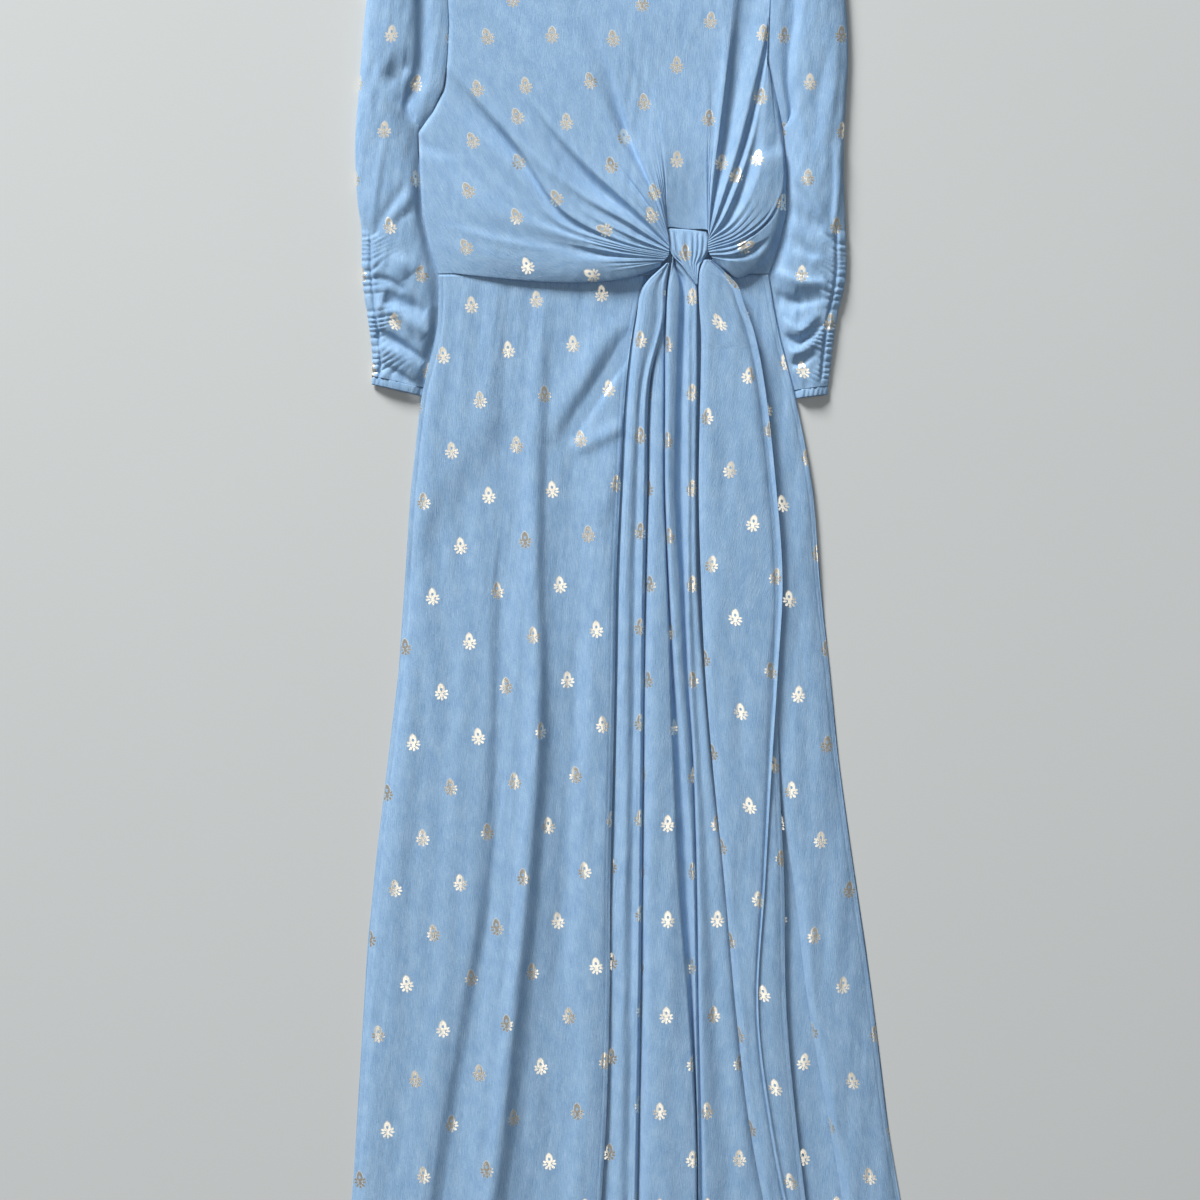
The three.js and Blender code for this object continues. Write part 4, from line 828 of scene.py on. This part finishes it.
# ---- the dress -----------------------------------------------------------------------------------
LEFT_FOLDS = [
    # the same columns as the bodice's folds
    [-12, 285, -45, 228, -92, 150, 14, 3.4],
    [8, 272, -20, 226, -68, 152, 10, -5],
    [2, 172, -24, 158, -62, 140, 8, 2.6],
    [2, 150, -18, 110, -30, 60, 12, 1.6],
]
MAKE = [
    # name, points, anchor of the grain, lean of the grain, the flat cut: width, length and area in
    # metres, how it is held, what it rests on
    ("bodice_back", bodice_back(), (0, 560), 0, (0.42, 0.43, 0.155), "laid", ()),
    ("skirt_back", skirt_back(), (0, 0), 0, (0.63, 1.11, 0.56), "laid", ()),
    ("skirt_left_front", panel(SKIRT_STATIONS, LEFT_FRONT, 196, 226, 11, LEFT_FOLDS), (-163, 197), 5.2,
     (0.32, 1.11, 0.3), "draped", ("skirt_back",)),
    ("skirt_centre", panel(CENTRE_STATIONS, CENTRE, 228, 160, 12), (70, 100), 0,
     (0.34, 1.13, 0.25), "gathered", ("skirt_back",)),
    ("skirt_right_front", panel(SKIRT_STATIONS, RIGHT_FRONT, 90, 160, 13), (218, -181), -4,
     (0.08, 1.11, 0.077), "draped", ("skirt_back", "skirt_centre")),
    ("drape_left", panel(DRAPE_STATIONS, LEFT_DRAPE, 90, 160, 14), (13, 53), 0,
     (0.07, 1.12, 0.05), "draped", ("skirt_back",)),
    ("drape_right", panel(RIGHT_STATIONS, RIGHT_DRAPE, 112, 170, 15), (131, 223), -11,
     (0.12, 1.13, 0.09), "folded", ("skirt_right_front", "skirt_centre")),
    ("bodice_front", bodice_front(), (53, 565), 0, (0.62, 0.44, 0.19), "gathered", ("bodice_back",)),
    ("waist_tab", waist_tab(), (62, 358), 0, (0.06, 0.07, 0.0025), "gathered", ()),
    ("sleeve_left", sleeve(LEFT_SLEEVE, LEFT_SLEEVE_FOLDS, 1), (-249, 440), 0,
     (0.3, 0.58, 0.125), "gathered", ("bodice_back",)),
    ("sleeve_right", sleeve(RIGHT_SLEEVE, RIGHT_SLEEVE_FOLDS, 2), (222, 440), 0,
     (0.3, 0.58, 0.125), "gathered", ("bodice_back",)),
    ("cuff_left", cuff(LEFT_SLEEVE), (-249, 440), 0, (0.222, 0.01, 0.0022), "laid", ()),
    ("cuff_right", cuff(RIGHT_SLEEVE), (222, 440), 0, (0.216, 0.01, 0.0021), "laid", ()),
]
BACKS = ("bodice_back", "skirt_back")
GRAIN_SHARE = 0.35    # of a sleeve's width round the front, where its grain runs
for name, points, anchor, lean, (width, length, area), held, rests_on in MAKE:
    tube = name.startswith(("sleeve", "cuff"))
    if name == "bodice_front":
        flat = charted_cut(points, BODICE_CHART)
        piece = cloth(name, points, flat, points[..., :2], [row[:3] for row in BODICE_CHART])
    else:
        flat = flat_cut(points, anchor, lean, int(len(points) * GRAIN_SHARE) if tube else None)
        piece = cloth(name, points, flat, flat, repeat_places(flat), closed=tube)
    outer, inner = (wrong_side, right_side) if name in BACKS else (right_side, wrong_side)
    piece.data.materials.append(outer)
    piece.data.materials.append(inner)


# ---- floor, light and camera ---------------------------------------------------------------------
bm = bmesh.new()
bmesh.ops.create_grid(bm, x_segments=1, y_segments=1, size=6)
floor_mesh = bpy.data.meshes.new("floor")
bm.to_mesh(floor_mesh)
bm.free()
floor = bpy.data.objects.new("floor", floor_mesh)
bpy.context.scene.collection.objects.link(floor)
paint = bpy.data.materials.new("matt_paint")
paint.use_nodes = True
# Matt paint on a smooth board: even to the eye, with a faint cloudiness and a fine tooth.
spots = add(paint.node_tree, "TexCoord").outputs["Object"]
cloudy = add(paint.node_tree, "TexNoise", [(0, spots)], i2=2.2, i3=2.0).outputs[0]
tooth = add(paint.node_tree, "TexNoise", [(0, spots)], i2=450.0, i3=1.0).outputs[0]
greys = {"i6": linear("#CBCECD"), "i7": linear("#CFD2D1")}
coat = add(paint.node_tree, "Mix", [(0, cloudy)], data_type="RGBA", **greys)
grain = add(paint.node_tree, "Bump", [("Height", tooth)], i0=0.1, i1=0.0005)
board = paint.node_tree.nodes["Principled BSDF"]
paint.node_tree.links.new(coat.outputs[2], board.inputs["Base Color"])
paint.node_tree.links.new(grain.outputs[0], board.inputs["Normal"])
board.inputs["Roughness"].default_value = 0.9
floor_mesh.materials.append(paint)


def lamp(name, place, width, length, power):
    light = bpy.data.lights.new(name, "AREA")
    light.shape = "RECTANGLE"
    light.size = width
    light.size_y = length
    light.energy = power
    holder = bpy.data.objects.new(name, light)
    holder.location = place
    holder.rotation_euler = (-Vector(place)).to_track_quat("-Z", "Y").to_euler()
    bpy.context.scene.collection.objects.link(holder)


# A high window beyond the neck rakes over the folds, and a dim panel overhead lights up the foil.
lamp("window", (-3.9, 7.2, 3.7), 3.0, 3.0, 1290)
lamp("overhead", (0, -0.4, 3.6), 1.5, 2.9, 25)
world = bpy.data.worlds.new("studio")
bpy.context.scene.world = world
world.use_nodes = True
world.node_tree.nodes["Background"].inputs[0].default_value = linear("#DDE3E8")
world.node_tree.nodes["Background"].inputs[1].default_value = 0.13

# The camera looks straight down from where it sees a square of table of this side, in metres.
SEEN_SIDE = 1.32
SEEN_MIDDLE = (-0.03135, -0.022)
LENS = 85
SENSOR = 36
lens = bpy.data.cameras.new("camera")
lens.lens = LENS
lens.sensor_width = SENSOR
camera = bpy.data.objects.new("camera", lens)
camera.location = (*SEEN_MIDDLE, SEEN_SIDE * LENS / SENSOR)
bpy.context.scene.collection.objects.link(camera)
bpy.context.scene.camera = camera
bpy.context.scene.view_settings.view_transform = "Standard"
